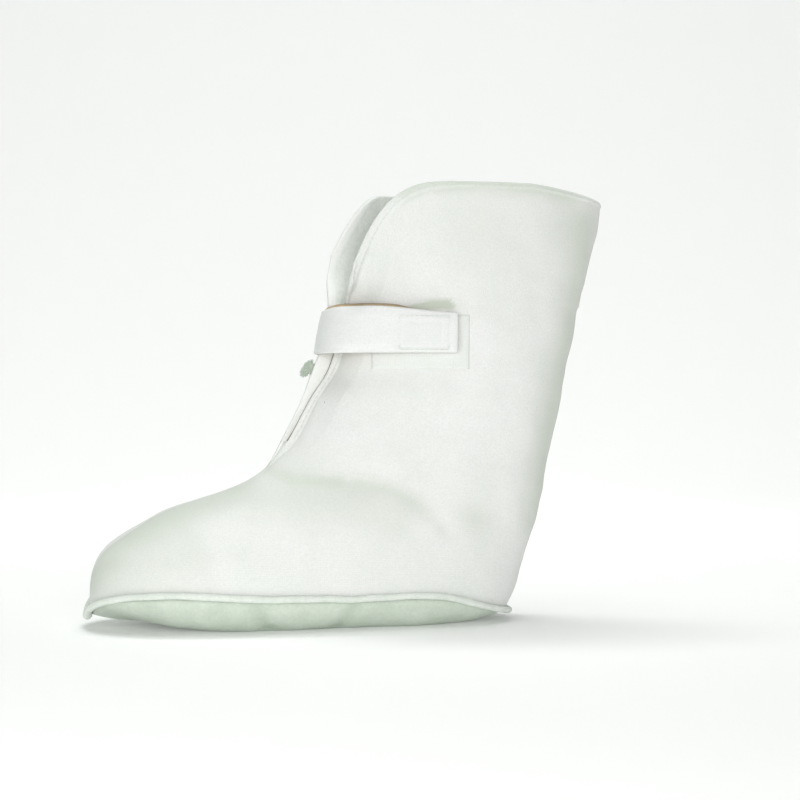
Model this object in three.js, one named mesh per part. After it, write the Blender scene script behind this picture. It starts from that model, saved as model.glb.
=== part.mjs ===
// A soft left boot of shearling with a front slit, an ankle strap and a sewn-on soft sole.
// Millimetres. The toe points to -X, the heel to +X and the outer side of the foot to -Y. The floor is z = 0.
import * as THREE from 'three';

// Foot and shaft
const footLength = 293;      // toe to heel along the sole seam
const ballWidth = 107;       // across the ball of the foot
const bootHeight = 304;      // floor to the top of the collar
const wall = 5;              // cloth face and pile together
const clearance = 0.3;       // between pieces that meet
const waistDepth = 5;        // how far the sides draw in at the waist of the foot
const waistPlace = 0.9;      // share of the way from the widest place to the heel over which they do
const toeTurn = 6;           // how far the toe swings to the inner side
const turnReach = 0.66;      // share of the foot's length over which it swings

// Sole seam and sole
const seamLift = 15;         // how far the seam rises at the sides
const ballLift = 0.2;        // the share more that it rises beside the ball
const ballLiftEnds = { from: 0.2, to: 0.6 };
const heelFall = { from: 0.8, to: 1.1 };
const riseRound = 1.8;       // power of its rise from the middle of the toe to the sides
const seamCordWidth = 4.6;
const seamCordHeight = 4.8;
const seamCordGap = 0.45;    // from the seam line
const seamCordSides = 8;
const soleThickness = 6;
const flatFront = 70;        // toe to the front of the flat bottom
const flatBack = 34;         // heel to the back of the flat bottom
const soleRounding = 17;     // flat bottom to the side of the sole
const endRounding = 1.2;     // power of the rounding up to the toe and the heel, 2 along the sides
const soleRings = 6;
const flatWidest = 0.2;      // place of the flat bottom's greatest width between its front and its back

// Slit and hem
const hemWidth = 7;
const collarHem = 4;         // width of the hem along the top
const hemStep = 1.1;
const slitGap = 0.8;
const halfOpening = 26;      // half the mouth of the slit at the collar, past the thickness of its edge
const innerLead = 9;         // how far the inner edge of the slit stands in front of the outer one
const vampFlat = 3;          // half the flat strip down the middle of the vamp

// Collar: it drops at its front corners, by a curve whose power is round, and falls a little to the back
const outerCorner = { drop: 57, reach: 75, round: 3.8 };
const innerCorner = { drop: 45, reach: 36, round: 1.7 };
const collarFall = 8;
const collarFallReach = 64;
const collarFallRound = 1.2;
const greatestHem = 0.5;     // share of a column's height that the hem of the collar may take

// Strap and its tape
const strapThickness = 3.2;
const strapBottom = 187;
const strapHeight = 32;
const strapEndHeight = 27.5; // lower at the free end
const strapTaper = 60;       // length over which it gets lower
const strapFreeReach = 88;   // from the front of the strap back to its free end on the outer side
const strapRootReach = 68;   // and to its sewn end on the inner side
const strapStandOff = 9.8;   // in front of the outer edge of the slit
const strapRound = 2.7;      // power of the blunt turn round the front
const strapColumns = 14;     // columns in each half of the strap
const strapRows = 4;
const tapeThickness = 1.2;
const tapeLift = 0.45;       // loop tape above the upper
const tapeRows = 5;
const tapeColumns = 8;
const hookTape = { length: 40, pastEnd: -2, aboveStrap: 3, height: 20 };
const loopTape = { length: 65, pastEnd: 9, aboveStrap: -11, height: 37 };

// Tuft of pile at the slit
const tuft = { y: 2.6, belowStrap: 10.5, length: 9.5, width: 8, height: 13, lumps: 3, lumpDepth: 0.12 };

// Sections of the upper from the sole seam up to the collar, one row each. Lengths along the foot are shares
// of footLength back from the toe, heights are shares of bootHeight, and half widths are shares of ballWidth.
// widest is the place of the greatest width between front and back, frontRound and backRound are the powers
// of the rounding before and behind it, and lift is the share of seamLift. lip is the share of the hem that
// stands forward at the slit, open the share of the slit's mouth and lead the share of innerLead. bands is
// how many bands of the mesh there are up to the next section, with 0 in the fan up to the collar.
const sections = table(
  ['frontX', 'frontZ', 'backX', 'backZ', 'outer', 'inner', 'widest', 'frontRound', 'backRound', 'lift',
    'waist', 'lip', 'open', 'lead', 'bands'],
  [
    [0.000, 0.026, 0.984, 0.022, 0.500, 0.480, 0.33, 2.30, 2.8, 1.00, 1.0, 0, 0, 0, 2],
    [-0.003, 0.072, 1.008, 0.068, 0.522, 0.502, 0.33, 2.35, 2.7, 0.84, 0.9, 0, 0, 0, 2],
    [0.005, 0.122, 1.024, 0.120, 0.520, 0.500, 0.34, 2.40, 2.6, 0.64, 0.7, 0, 0, 0, 2],
    [0.034, 0.168, 1.042, 0.168, 0.498, 0.484, 0.38, 2.50, 2.5, 0.42, 0.5, 0, 0, 0, 2],
    [0.090, 0.212, 1.059, 0.217, 0.466, 0.458, 0.48, 2.70, 2.4, 0.20, 0.3, 0, 0, 0, 2],
    [0.174, 0.260, 1.071, 0.263, 0.440, 0.436, 0.60, 2.60, 2.3, 0.08, 0.1, 0, 0, 0, 2],
    [0.287, 0.296, 1.082, 0.309, 0.424, 0.422, 0.66, 2.40, 2.2, 0.00, 0.0, 0, 0, 0, 2],
    [0.352, 0.319, 1.090, 0.349, 0.416, 0.414, 0.64, 2.30, 2.1, 0.00, 0.0, 0, 0, 0, 2],
    [0.406, 0.355, 1.099, 0.388, 0.412, 0.410, 0.60, 2.20, 2.0, 0.00, 0.0, 0.1, 0, 0, 3],
    [0.456, 0.416, 1.113, 0.444, 0.414, 0.412, 0.56, 2.10, 2.0, 0.00, 0.0, 1, 0, 0.4, 2],
    [0.509, 0.510, 1.130, 0.523, 0.422, 0.420, 0.52, 2.00, 2.0, 0.00, 0.0, 1, 0, 0.55, 2],
    [0.555, 0.582, 1.141, 0.582, 0.430, 0.428, 0.49, 2.05, 2.0, 0.00, 0.0, 1, 0.00, 1.15, 3],
    [0.578, 0.668, 1.162, 0.668, 0.438, 0.436, 0.47, 2.30, 2.0, 0.00, 0.0, 1, 0.18, 0.65, 3],
    [0.589, 0.730, 1.176, 0.730, 0.444, 0.442, 0.47, 2.00, 2.0, 0.00, 0.0, 1, 0.34, 0.92, 0],
    [0.592, 0.730, 1.211, 0.730, 0.450, 0.448, 0.47, 1.60, 2.0, 0.00, 0.0, 1, 0.80, 0.9, 0],
    [0.599, 0.730, 1.230, 0.730, 0.456, 0.454, 0.47, 1.60, 2.0, 0.00, 0.0, 1, 1, 0.71, 0],
  ],
);
const slitRow = sections.findIndex(({ lip }) => lip === 1);        // the slit opens at this section
const shaftRow = sections.findIndex(({ bands }) => bands === 0);   // the rows fan out above this section
const collarRow = sections.length - 1;
const sectionSteps = 48;     // straight pieces in each half of a worked-out section

const collarBands = 4;       // bands of the mesh in the fan
const hemColumns = 3;        // columns of the hem and its step
const bodyColumns = 19;      // columns of each half behind the hem
const columnCrowding = 0.3;  // how much closer they stand at the front and the back

const steps = (count) => Array.from({ length: count + 1 }, (_, i) => i / count);

// Rows of the mesh below the fan, as places between the sections
const lowerRows = sections.slice(0, shaftRow).flatMap(({ bands }, i) => (
  steps(bands).slice(0, -1).map((share) => i + share))).concat(shaftRow);

function table(columns, rows) {
  return rows.map((row) => Object.fromEntries(columns.map((name, i) => [name, row[i]])));
}

function smooth(from, to, value) {
  const t = Math.min(Math.max((value - from) / (to - from), 0), 1);
  return t * t * (3 - 2 * t);
}

// A section between two rows of the table, by a cubic through its neighbours
function sectionAt(place) {
  const i = Math.min(Math.floor(place), sections.length - 2);
  const t = place - i;
  const at = (k) => sections[Math.min(Math.max(k, 0), sections.length - 1)];
  const blended = {};
  for (const name of Object.keys(sections[0])) {
    const [a, b, c, d] = [at(i - 1)[name], at(i)[name], at(i + 1)[name], at(i + 2)[name]];
    const slopeIn = (c - a) / 2;
    const slopeOut = (d - b) / 2;
    const t2 = t * t;
    const t3 = t2 * t;
    blended[name] = (2 * t3 - 3 * t2 + 1) * b + (t3 - 2 * t2 + t) * slopeIn
      + (3 * t2 - 2 * t3) * c + (t3 - t2) * slopeOut;
  }
  return blended;
}

// Half of an outline seen from above, from its front at y = faceY, over its widest place, to its back at
// y = 0: two quarters of a rounded oval, narrowed at the waist
function halfOval({ frontX, backX, faceY, half, widest, frontRound, backRound, waist }) {
  const middle = frontX + (backX - frontX) * widest;
  const points = [];
  for (let i = 0; i <= sectionSteps; i += 1) {
    const angle = (Math.PI / 2) * (i / sectionSteps);
    points.push([
      middle - (middle - frontX) * Math.cos(angle) ** (2 / frontRound),
      faceY + (half - faceY) * Math.sin(angle) ** (2 / frontRound),
    ]);
  }
  for (let i = 1; i <= sectionSteps; i += 1) {
    const angle = (Math.PI / 2) * (i / sectionSteps);
    const x = middle + (backX - middle) * Math.sin(angle) ** (2 / backRound);
    const share = (x - middle) / (backX - middle);
    const pinch = waist * Math.sin(Math.PI * Math.min(share / waistPlace, 1)) ** 2;
    points.push([x, half * Math.cos(angle) ** (2 / backRound) - pinch]);
  }
  return points;
}

// Points at given distances along a path of [x, y] pairs
function alongPath(path, distances) {
  const lengths = [0];
  for (let i = 1; i < path.length; i += 1) {
    lengths.push(lengths[i - 1] + Math.hypot(path[i][0] - path[i - 1][0], path[i][1] - path[i - 1][1]));
  }
  const total = lengths[lengths.length - 1];
  return distances(total).map((distance) => {
    const wanted = Math.min(distance, total);
    let i = 1;
    while (i < path.length - 1 && lengths[i] < wanted) i += 1;
    const t = (wanted - lengths[i - 1]) / (lengths[i] - lengths[i - 1] || 1);
    return [0, 1].map((k) => path[i - 1][k] + (path[i][k] - path[i - 1][k]) * t);
  });
}

// Columns along half a section: the hem and its step, then closer together at the front and the back
function columnDistances(total, base) {
  const distances = [0, base - hemStep, base];
  for (let k = 1; k <= bodyColumns; k += 1) {
    const share = k / bodyColumns;
    const crowded = share - columnCrowding * Math.sin(2 * Math.PI * share) / (2 * Math.PI);
    distances.push(base + (total - base) * crowded);
  }
  return distances;
}

function toeSwing(x) {
  const share = Math.min(Math.max(1 - x / (turnReach * footLength), 0), 1);
  return toeTurn * share * share;
}

function collarHeight(x, side) {
  const corner = side < 0 ? outerCorner : innerCorner;
  const top = sections[collarRow];
  const cornerX = top.frontX * footLength - (side < 0 ? 0 : top.lead * innerLead);
  const near = Math.min(Math.max((x - cornerX) / corner.reach, 0), 1);
  const backX = top.backX * footLength;
  const behind = Math.max((x - (backX - collarFallReach)) / collarFallReach, 0);
  return bootHeight - corner.drop * (1 - near) ** corner.round - collarFall * behind ** collarFallRound;
}

// Height of a section at x: a straight line from its front to its back, and above the shaft's last straight
// row a fan up to the collar
function levelAt(s, place, x, side) {
  const t = (x / footLength - s.frontX) / (s.backX - s.frontX);
  const level = (s.frontZ + (s.backZ - s.frontZ) * t) * bootHeight;
  const fan = Math.max(place - shaftRow, 0) / (collarRow - shaftRow);
  return level + fan * (collarHeight(x, side) - level);
}

// Half of the upper at a place between the sections: the front edge, the hem's base and the columns behind
// it, side -1 on the outer side and +1 on the inner one
function halfUpper(place, side) {
  const s = sectionAt(place);
  const frontX = s.frontX * footLength;
  const backX = s.backX * footLength;
  const half = (side < 0 ? s.outer : s.inner) * ballWidth;
  const lip = s.lip * hemWidth;
  const lead = side < 0 ? 0 : s.lead * innerLead;
  const faceY = vampFlat + s.lip * (wall + slitGap / 2 - vampFlat) + s.open * halfOpening;
  const oval = halfOval({
    frontX: frontX + lip, backX, faceY, half, waist: s.waist * waistDepth,
    widest: s.widest, frontRound: s.frontRound, backRound: s.backRound,
  });
  const path = lip > 0.01 ? [[frontX - lead, faceY], ...oval] : oval;
  return alongPath(path, (total) => columnDistances(total, hemWidth + lead)).map(([x, y]) => {
    const t = (x - frontX) / (backX - frontX);
    const besideBall = 1 + ballLift * (1 - smooth(ballLiftEnds.from, ballLiftEnds.to, t));
    const beforeHeel = 1 - smooth(heelFall.from, heelFall.to, t);
    const toSide = 1 - (1 - Math.min(y / half, 1)) ** riseRound;
    const z = levelAt(s, place, x, side) + s.lift * seamLift * besideBall * beforeHeel * toSide;
    return new THREE.Vector3(x, side * y + toeSwing(x), z);
  });
}

// The rows of one half of the outer skin. The last two rows are the hem of the collar, as wide along each
// column as the hem is, with a step down to the cloth below it.
function halfSkin(side) {
  const rows = lowerRows.map((place) => halfUpper(place, side));
  const bottom = rows[rows.length - 1];
  const top = halfUpper(collarRow, side);
  const fanDepth = collarRow - shaftRow;
  const hemShares = top.map((point, i) => {
    const before = top[Math.max(i - 1, 0)];
    const after = top[Math.min(i + 1, top.length - 1)];
    const slope = (after.z - before.z) / Math.max(Math.hypot(after.x - before.x, after.y - before.y), 1);
    const band = collarHem + (hemWidth - collarHem) * (1 - smooth(0, outerCorner.reach, point.x - top[0].x));
    return Math.min(band * Math.hypot(1, slope) / (point.z - bottom[i].z), greatestHem);
  });
  for (const share of steps(collarBands).slice(1)) {
    rows.push(top.map((_, i) => halfUpper(shaftRow + fanDepth * share * (1 - hemShares[i]), side)[i]));
  }
  rows.push(top.map((_, i) => {
    const stepShare = hemShares[i] * (1 - hemStep / collarHem);
    return halfUpper(shaftRow + fanDepth * (1 - stepShare), side)[i];
  }));
  rows.push(top);
  return rows;
}

// Whole rows: outer side from the front edge to the back, then the inner side from the back to its front edge
function wholeRows(outerHalf, innerHalf) {
  return outerHalf.map((row, r) => [...row, ...innerHalf[r].slice(0, -1).reverse()]);
}

// Direction of a smooth line through three of its points, the nearer neighbour counting most
function direction(before, point, after) {
  const arriving = point.clone().sub(before);
  const leaving = after.clone().sub(point);
  const [near, far] = [arriving.length(), leaving.length()];
  if (near === 0) return leaving.normalize();
  if (far === 0) return arriving.normalize();
  return arriving.multiplyScalar(far / near).add(leaving.multiplyScalar(near / far)).normalize();
}

// Normals of a grid of points from its neighbours, pointing away from the foot. Rows below the slit are
// closed.
function gridNormals(rows) {
  const slitAt = lowerRows.indexOf(slitRow);
  return rows.map((row, r) => row.map((point, c) => {
    const last = row.length - 1;
    const right = c < last ? row[c + 1] : row[r < slitAt ? 0 : last];
    const left = c > 0 ? row[c - 1] : row[r < slitAt ? last : 0];
    const above = rows[Math.min(r + 1, rows.length - 1)][c];
    const below = rows[Math.max(r - 1, 0)][c];
    const along = direction(left, point, right);
    if (r >= lowerRows.length - 1) along.setZ(0);
    return along.cross(direction(below, point, above)).normalize();
  }));
}

// A closed mesh from corner points and triangles of corner numbers
function solid(name, points, triangles, finish) {
  const geometry = new THREE.BufferGeometry();
  const numbers = points.flatMap((p) => [p.x, p.y, p.z]);
  geometry.setAttribute('position', new THREE.Float32BufferAttribute(numbers, 3));
  geometry.setIndex(triangles.flat());
  geometry.computeVertexNormals();
  const mesh = new THREE.Mesh(geometry, new THREE.MeshStandardMaterial({ metalness: 0, ...finish }));
  mesh.name = name;
  return mesh;
}

const quad = (a, b, c, d) => [[a, b, c], [a, c, d]];

function buildUpper() {
  const rows = wholeRows(halfSkin(-1), halfSkin(1));
  const width = rows[0].length;
  const topRow = rows.length - 1;
  const slitAt = lowerRows.indexOf(slitRow);
  const normals = gridNormals(rows);
  const seam = seamLine();
  const outer = [];
  const inner = [];
  rows.forEach((row, r) => row.forEach((point, c) => {
    const side = c < (width - 1) / 2 ? -1 : 1;
    const fromEdge = Math.min(c, width - 1 - c);
    const place = lowerRows[Math.min(r, lowerRows.length - 1)];
    const onSlitHem = fromEdge < hemColumns - 1 ? smooth(slitRow - 1, slitRow, place) : 0;
    const onCollarHem = r >= topRow - 1 ? 1 : 0;
    const normal = normals[r][c].clone();
    if (r === 0) normal.copy(seam[c].out);
    if (r === topRow) normal.setZ(0).normalize();
    const back = point.clone().addScaledVector(normal, -wall);
    if (fromEdge < 2 * hemColumns && place > slitRow - 1) {
      const edgeY = Math.abs(row[c < (width - 1) / 2 ? 0 : width - 1].y) - wall;
      back.y = side * Math.max(side * back.y, edgeY);
    }
    outer.push(point.clone().addScaledVector(normal, hemStep * Math.max(onSlitHem, onCollarHem)));
    inner.push(back);
  }));
  const at = (r, c) => r * width + c;
  const inside = (r, c) => outer.length + at(r, c);
  const faces = [];
  for (let r = 0; r < topRow; r += 1) {
    for (let c = 0; c < width - 1; c += 1) {
      faces.push(...quad(at(r, c), at(r, c + 1), at(r + 1, c + 1), at(r + 1, c)));
      faces.push(...quad(inside(r, c), inside(r + 1, c), inside(r + 1, c + 1), inside(r, c + 1)));
    }
    const last = width - 1;
    if (r < slitAt) {
      faces.push(...quad(at(r, last), at(r, 0), at(r + 1, 0), at(r + 1, last)));
      faces.push(...quad(inside(r, last), inside(r + 1, last), inside(r + 1, 0), inside(r, 0)));
    } else {
      faces.push(...quad(at(r, 0), at(r + 1, 0), inside(r + 1, 0), inside(r, 0)));
      faces.push(...quad(at(r, last), inside(r, last), inside(r + 1, last), at(r + 1, last)));
    }
  }
  for (let c = 0; c < width - 1; c += 1) {
    faces.push(...quad(at(topRow, c), at(topRow, c + 1), inside(topRow, c + 1), inside(topRow, c)));
    faces.push(...quad(at(0, c), inside(0, c), inside(0, c + 1), at(0, c + 1)));
  }
  faces.push(...quad(at(0, width - 1), inside(0, width - 1), inside(0, 0), at(0, 0)));
  faces.push(...quad(at(slitAt, width - 1), at(slitAt, 0), inside(slitAt, 0), inside(slitAt, width - 1)));
  return solid('upper', [...outer, ...inner], faces, { color: 0xe9e9e3, roughness: 0.95 });
}

// Place between the sections whose row passes through height z at x, found by halving
function placeAt(x, z, side) {
  let low = slitRow;
  let high = collarRow;
  for (let i = 0; i < 30; i += 1) {
    const place = (low + high) / 2;
    if (levelAt(sectionAt(place), place, x, side) < z) low = place;
    else high = place;
  }
  return (low + high) / 2;
}

// The oval of one side of the shaft at a place between the sections, with no lip
function shaftOval(place, side) {
  const s = sectionAt(place);
  return halfOval({
    frontX: s.frontX * footLength + s.lip * hemWidth,
    backX: s.backX * footLength,
    faceY: wall + slitGap / 2 + s.open * halfOpening,
    half: (side < 0 ? s.outer : s.inner) * ballWidth,
    waist: 0, widest: s.widest, frontRound: s.frontRound, backRound: s.backRound,
  });
}

// Where a path of [x, y] pairs crosses x, moved out by a distance square to the path
function crossing(path, x, distance) {
  let i = 1;
  while (i < path.length - 1 && path[i][0] < x) i += 1;
  const [ax, ay] = path[i - 1];
  const [bx, by] = path[i];
  const length = Math.hypot(bx - ax, by - ay);
  const t = (x - ax) / (bx - ax);
  return [x - distance * (by - ay) / length, ay + (by - ay) * t + distance * (bx - ax) / length];
}

// A closed slab between two grids of points of the same size, the outer one seen from outside with its
// columns running to the right and its rows upwards
function slab(name, outerRows, innerRows, finish) {
  const height = outerRows.length;
  const width = outerRows[0].length;
  const at = (r, c) => r * width + c;
  const inside = (r, c) => height * width + at(r, c);
  const faces = [];
  const last = width - 1;
  const top = height - 1;
  for (let r = 0; r < top; r += 1) {
    for (let c = 0; c < last; c += 1) {
      faces.push(...quad(at(r, c), at(r, c + 1), at(r + 1, c + 1), at(r + 1, c)));
      faces.push(...quad(inside(r, c), inside(r + 1, c), inside(r + 1, c + 1), inside(r, c + 1)));
    }
    faces.push(...quad(at(r, 0), at(r + 1, 0), inside(r + 1, 0), inside(r, 0)));
    faces.push(...quad(at(r, last), inside(r, last), inside(r + 1, last), at(r + 1, last)));
  }
  for (let c = 0; c < last; c += 1) {
    faces.push(...quad(at(top, c), at(top, c + 1), inside(top, c + 1), inside(top, c)));
    faces.push(...quad(at(0, c), inside(0, c), inside(0, c + 1), at(0, c + 1)));
  }
  return solid(name, [...outerRows.flat(), ...innerRows.flat()], faces, finish);
}

// The seam line all round, where the sole meets the upper, with the level direction out of the foot
function seamLine() {
  const [row] = wholeRows([halfUpper(0, -1)], [halfUpper(0, 1)]);
  return row.map((point, c) => {
    const before = row[(c + row.length - 1) % row.length];
    const after = row[(c + 1) % row.length];
    const along = direction(before, point, after).setZ(0).normalize();
    return { point, out: new THREE.Vector3(along.y, -along.x, 0) };
  });
}

// Flat bottom of the sole, with the same columns as the seam line
function flatLine() {
  const half = (side) => {
    const s = sections[0];
    const path = halfOval({
      frontX: flatFront, backX: footLength - flatBack, faceY: vampFlat,
      half: (side < 0 ? s.outer : s.inner) * ballWidth - soleRounding, waist: s.waist * waistDepth,
      widest: flatWidest, frontRound: s.frontRound, backRound: s.backRound,
    });
    return alongPath(path, (total) => columnDistances(total, hemWidth))
      .map(([x, y]) => new THREE.Vector3(x, side * y + toeSwing(x), 0));
  };
  return wholeRows([half(-1)], [half(1)])[0];
}

// A soft dish: the rim lies under the upper's edge, and the side rounds down to the flat bottom, gently at
// the toe and the heel and as a quarter circle along the sides
function buildSole() {
  const seam = seamLine();
  const flat = flatLine();
  const width = seam.length;
  const levels = steps(soleRings);
  const skin = (rim, floor, bottom) => levels.map((level) => rim.map((start, c) => {
    const side = Math.min(Math.abs(start.y) / (sections[0].outer * ballWidth), 1);
    const power = endRounding + (2 - endRounding) * side;
    const out = 1 - level;
    const rise = 1 - (1 - out ** power) ** (1 / power);
    const point = start.clone().lerp(floor[c], level);
    return point.setZ(bottom + (start.z - bottom) * rise);
  }));
  const rim = seam.map(({ point }) => point.clone().setZ(point.z - clearance));
  const rimInside = seam.map(({ out }, c) => rim[c].clone().addScaledVector(out, -wall));
  const outer = skin(rim, flat, 0);
  const inner = skin(rimInside, flat, soleThickness);
  const at = (r, c) => r * width + (c % width);
  const inside = (r, c) => levels.length * width + at(r, c);
  const faces = [];
  for (let c = 0; c < width; c += 1) {
    for (let r = 0; r < soleRings; r += 1) {
      faces.push(...quad(at(r + 1, c), at(r + 1, c + 1), at(r, c + 1), at(r, c)));
      faces.push(...quad(inside(r + 1, c), inside(r, c), inside(r, c + 1), inside(r + 1, c + 1)));
    }
    faces.push(...quad(at(0, c), at(0, c + 1), inside(0, c + 1), inside(0, c)));
  }
  for (let c = 0; c < (width - 1) / 2; c += 1) {
    const far = width - 1 - c;
    if (far - 1 > c + 1) {
      faces.push(...quad(at(soleRings, c), at(soleRings, far), at(soleRings, far - 1), at(soleRings, c + 1)));
      faces.push(...quad(inside(soleRings, c), inside(soleRings, c + 1), inside(soleRings, far - 1),
        inside(soleRings, far)));
    } else {
      faces.push([at(soleRings, c), at(soleRings, far), at(soleRings, c + 1)]);
      faces.push([inside(soleRings, c), inside(soleRings, c + 1), inside(soleRings, far)]);
    }
  }
  return solid('sole', [...outer.flat(), ...inner.flat()], faces, { color: 0xd9dbd0, roughness: 1 });
}

// The raised seam: a rounded cord all round, just outside the line where upper and sole meet
function buildSoleSeam() {
  const seam = seamLine();
  const round = steps(seamCordSides).slice(0, -1).map((share) => 2 * Math.PI * share);
  const points = seam.flatMap(({ point, out }) => round.map((angle) => {
    const across = seamCordGap + (seamCordWidth / 2) * (1 + Math.cos(angle));
    return point.clone().addScaledVector(out, across).setZ(point.z + (seamCordHeight / 2) * Math.sin(angle));
  }));
  const at = (c, k) => (c % seam.length) * seamCordSides + (k % seamCordSides);
  const faces = seam.flatMap((_, c) => round.flatMap((_angle, k) => (
    quad(at(c, k), at(c + 1, k), at(c + 1, k + 1), at(c, k + 1)))));
  return solid('sole_seam', points, faces, { color: 0xefefe9, roughness: 0.9 });
}

// Middle of the shaft along the foot, at the foot of its straight rows
function shaftMiddle() {
  const s = sections[shaftRow];
  return (s.frontX + s.backX) * footLength / 2;
}

// The strap's inner face at a height, seen from above: a blunt oval round the front of the shaft, outside the
// upper and the tapes
function strapOval(z, side) {
  const s = sectionAt(placeAt(shaftMiddle(), z, side));
  const underStrap = side < 0 ? 3 * clearance + 2 * tapeThickness : clearance;
  return halfOval({
    frontX: s.frontX * footLength - strapStandOff, backX: s.backX * footLength, faceY: 0,
    half: (side < 0 ? s.outer : s.inner) * ballWidth + underStrap, waist: 0,
    widest: s.widest + strapStandOff / footLength, frontRound: strapRound, backRound: s.backRound,
  });
}

// Where the strap's free end and its root lie, from the toe
function strapEnds() {
  const front = strapOval(strapBottom, -1)[0][0];
  return { free: front + strapFreeReach, root: front + strapRootReach };
}

// Top of the strap at x: it gets lower towards the free end
function strapTop(x, side) {
  const lower = side < 0 ? smooth(strapEnds().free - strapTaper, strapEnds().free, x) : 0;
  return strapBottom + strapHeight - (strapHeight - strapEndHeight) * lower;
}

// A strip of points round the strap from its free end to its root, at a share of its height and a distance
// outside its inner face
function strapRow(share, distance) {
  const row = (side, endX) => {
    const oval = strapOval(strapBottom + strapHeight * share, side);
    const end = oval.findIndex(([x]) => x > endX);
    const path = oval.slice(0, end);
    path.push(crossing(oval, endX, 0));
    return alongPath(path, (total) => steps(strapColumns).map((t) => t * total)).map(([x, y], i, all) => {
      const [ax, ay] = all[Math.max(i - 1, 0)];
      const [bx, by] = all[Math.min(i + 1, all.length - 1)];
      const length = Math.hypot(bx - ax, by - ay);
      const out = i === 0 ? [-1, 0] : [-(by - ay) / length, (bx - ax) / length];
      const z = strapBottom + (strapTop(x, side) - strapBottom) * share;
      return new THREE.Vector3(x + distance * out[0], side * (y + distance * out[1]), z);
    });
  };
  return [...row(-1, strapEnds().free).reverse(), ...row(1, strapEnds().root).slice(1)].reverse();
}

function buildStrap() {
  const shares = steps(strapRows);
  return slab('strap', shares.map((share) => strapRow(share, strapThickness)),
    shares.map((share) => strapRow(share, 0)), { color: 0xe7e7e1, roughness: 0.95 });
}

// A piece of tape on the outer side between two places along the foot and two heights, lying on an oval that
// depends on the height
function buildTape(name, tape, ovalAt, nearFace, farFace, finish) {
  const grid = (distance) => steps(tapeRows).map((up) => steps(tapeColumns).map((along) => {
    const x = strapEnds().free + tape.pastEnd - tape.length * (1 - along);
    const z = strapBottom + tape.aboveStrap + tape.height * up;
    const [px, py] = crossing(ovalAt(x, z), x, distance);
    return new THREE.Vector3(px, -py, z);
  }));
  return slab(name, grid(farFace), grid(nearFace), finish);
}

// A small lumpy tuft of pile, its back against the inner edge of the slit
function buildTuft() {
  const z = strapBottom - tuft.belowStrap;
  const s = sectionAt(placeAt(shaftMiddle(), z - tuft.height / 4, 1));
  const edgeX = s.frontX * footLength - s.lead * innerLead;
  const geometry = new THREE.SphereGeometry(0.5, 10, 8);
  const position = geometry.getAttribute('position');
  const wave = 2 * Math.PI * tuft.lumps;
  const points = [];
  for (let i = 0; i < position.count; i += 1) {
    const p = new THREE.Vector3().fromBufferAttribute(position, i);
    p.multiplyScalar(1 + tuft.lumpDepth * Math.sin(wave * p.x) * Math.cos(wave * p.y));
    points.push(p);
  }
  position.copyArray(points.flatMap((p) => [p.x, p.y, p.z]));
  geometry.scale(tuft.length, tuft.width, tuft.height);
  geometry.computeBoundingBox();
  geometry.translate(edgeX - clearance - geometry.boundingBox.max.x, tuft.y, z);
  const mesh = new THREE.Mesh(geometry, new THREE.MeshStandardMaterial({ color: 0xf2f2ee, roughness: 1 }));
  mesh.name = 'pile_tuft';
  return mesh;
}

const group = new THREE.Group();
group.add(buildUpper(), buildSole(), buildSoleSeam(), buildStrap());
group.add(buildTape('loop_patch', loopTape, (x, z) => shaftOval(placeAt(x, z, -1), -1),
  tapeLift, tapeLift + tapeThickness, { color: 0xeeeee9, roughness: 0.9 }));
group.add(buildTape('hook_patch', hookTape, (x, z) => strapOval(z, -1),
  -clearance - tapeThickness, -clearance, { color: 0xe3e3dd, roughness: 0.8 }));
group.add(buildTuft());

// The origin is on the floor, in the middle of the whole boot's length and width
const box = new THREE.Box3().setFromObject(group);
group.position.set(-(box.min.x + box.max.x) / 2, -(box.min.y + box.max.y) / 2, 0);
export default group;
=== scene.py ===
"""The looks of a soft left boot of white shearling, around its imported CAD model.

Sizes are in millimetres, in the maker's frame of the CAD: the toe of the sole seam is at x = 0, the heel is
at +x, the outer side of the foot is at -y, and the floor is z = 0. A mesh is turned into metres when made.
"""

import bpy
import numpy as np
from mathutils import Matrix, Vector


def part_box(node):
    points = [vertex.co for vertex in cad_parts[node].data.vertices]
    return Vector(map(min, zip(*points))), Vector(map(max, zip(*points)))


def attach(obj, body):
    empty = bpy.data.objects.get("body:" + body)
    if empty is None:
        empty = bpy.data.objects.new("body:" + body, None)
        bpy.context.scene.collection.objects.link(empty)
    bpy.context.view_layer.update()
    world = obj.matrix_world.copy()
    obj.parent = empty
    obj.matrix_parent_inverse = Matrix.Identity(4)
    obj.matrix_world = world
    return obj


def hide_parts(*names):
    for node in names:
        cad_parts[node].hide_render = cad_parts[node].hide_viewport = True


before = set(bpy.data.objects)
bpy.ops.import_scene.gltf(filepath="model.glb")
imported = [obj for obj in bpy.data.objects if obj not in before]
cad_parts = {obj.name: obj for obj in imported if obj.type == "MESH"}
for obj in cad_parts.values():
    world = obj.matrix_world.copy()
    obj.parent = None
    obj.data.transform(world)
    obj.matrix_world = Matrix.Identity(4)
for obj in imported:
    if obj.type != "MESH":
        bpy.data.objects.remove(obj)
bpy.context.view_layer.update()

# Foot and shaft, as in the CAD
FOOT_LENGTH = 293.0
BALL_WIDTH = 107.0
BOOT_HEIGHT = 304.0
WALL = 5.0
CLEARANCE = 0.3
WAIST_DEPTH = 5.0
WAIST_PLACE = 0.9
TOE_TURN = 6.0
TURN_REACH = 0.66
SEAM_LIFT = 15.0
BALL_LIFT = 0.2
BALL_LIFT_ENDS = (0.2, 0.6)
HEEL_FALL = (0.8, 1.1)
RISE_ROUND = 1.8
SEAM_GAP = 0.45
SEAM_WIDTH = 4.6
SEAM_HEIGHT = 4.8
SOLE_THICKNESS = 6.0
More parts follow.
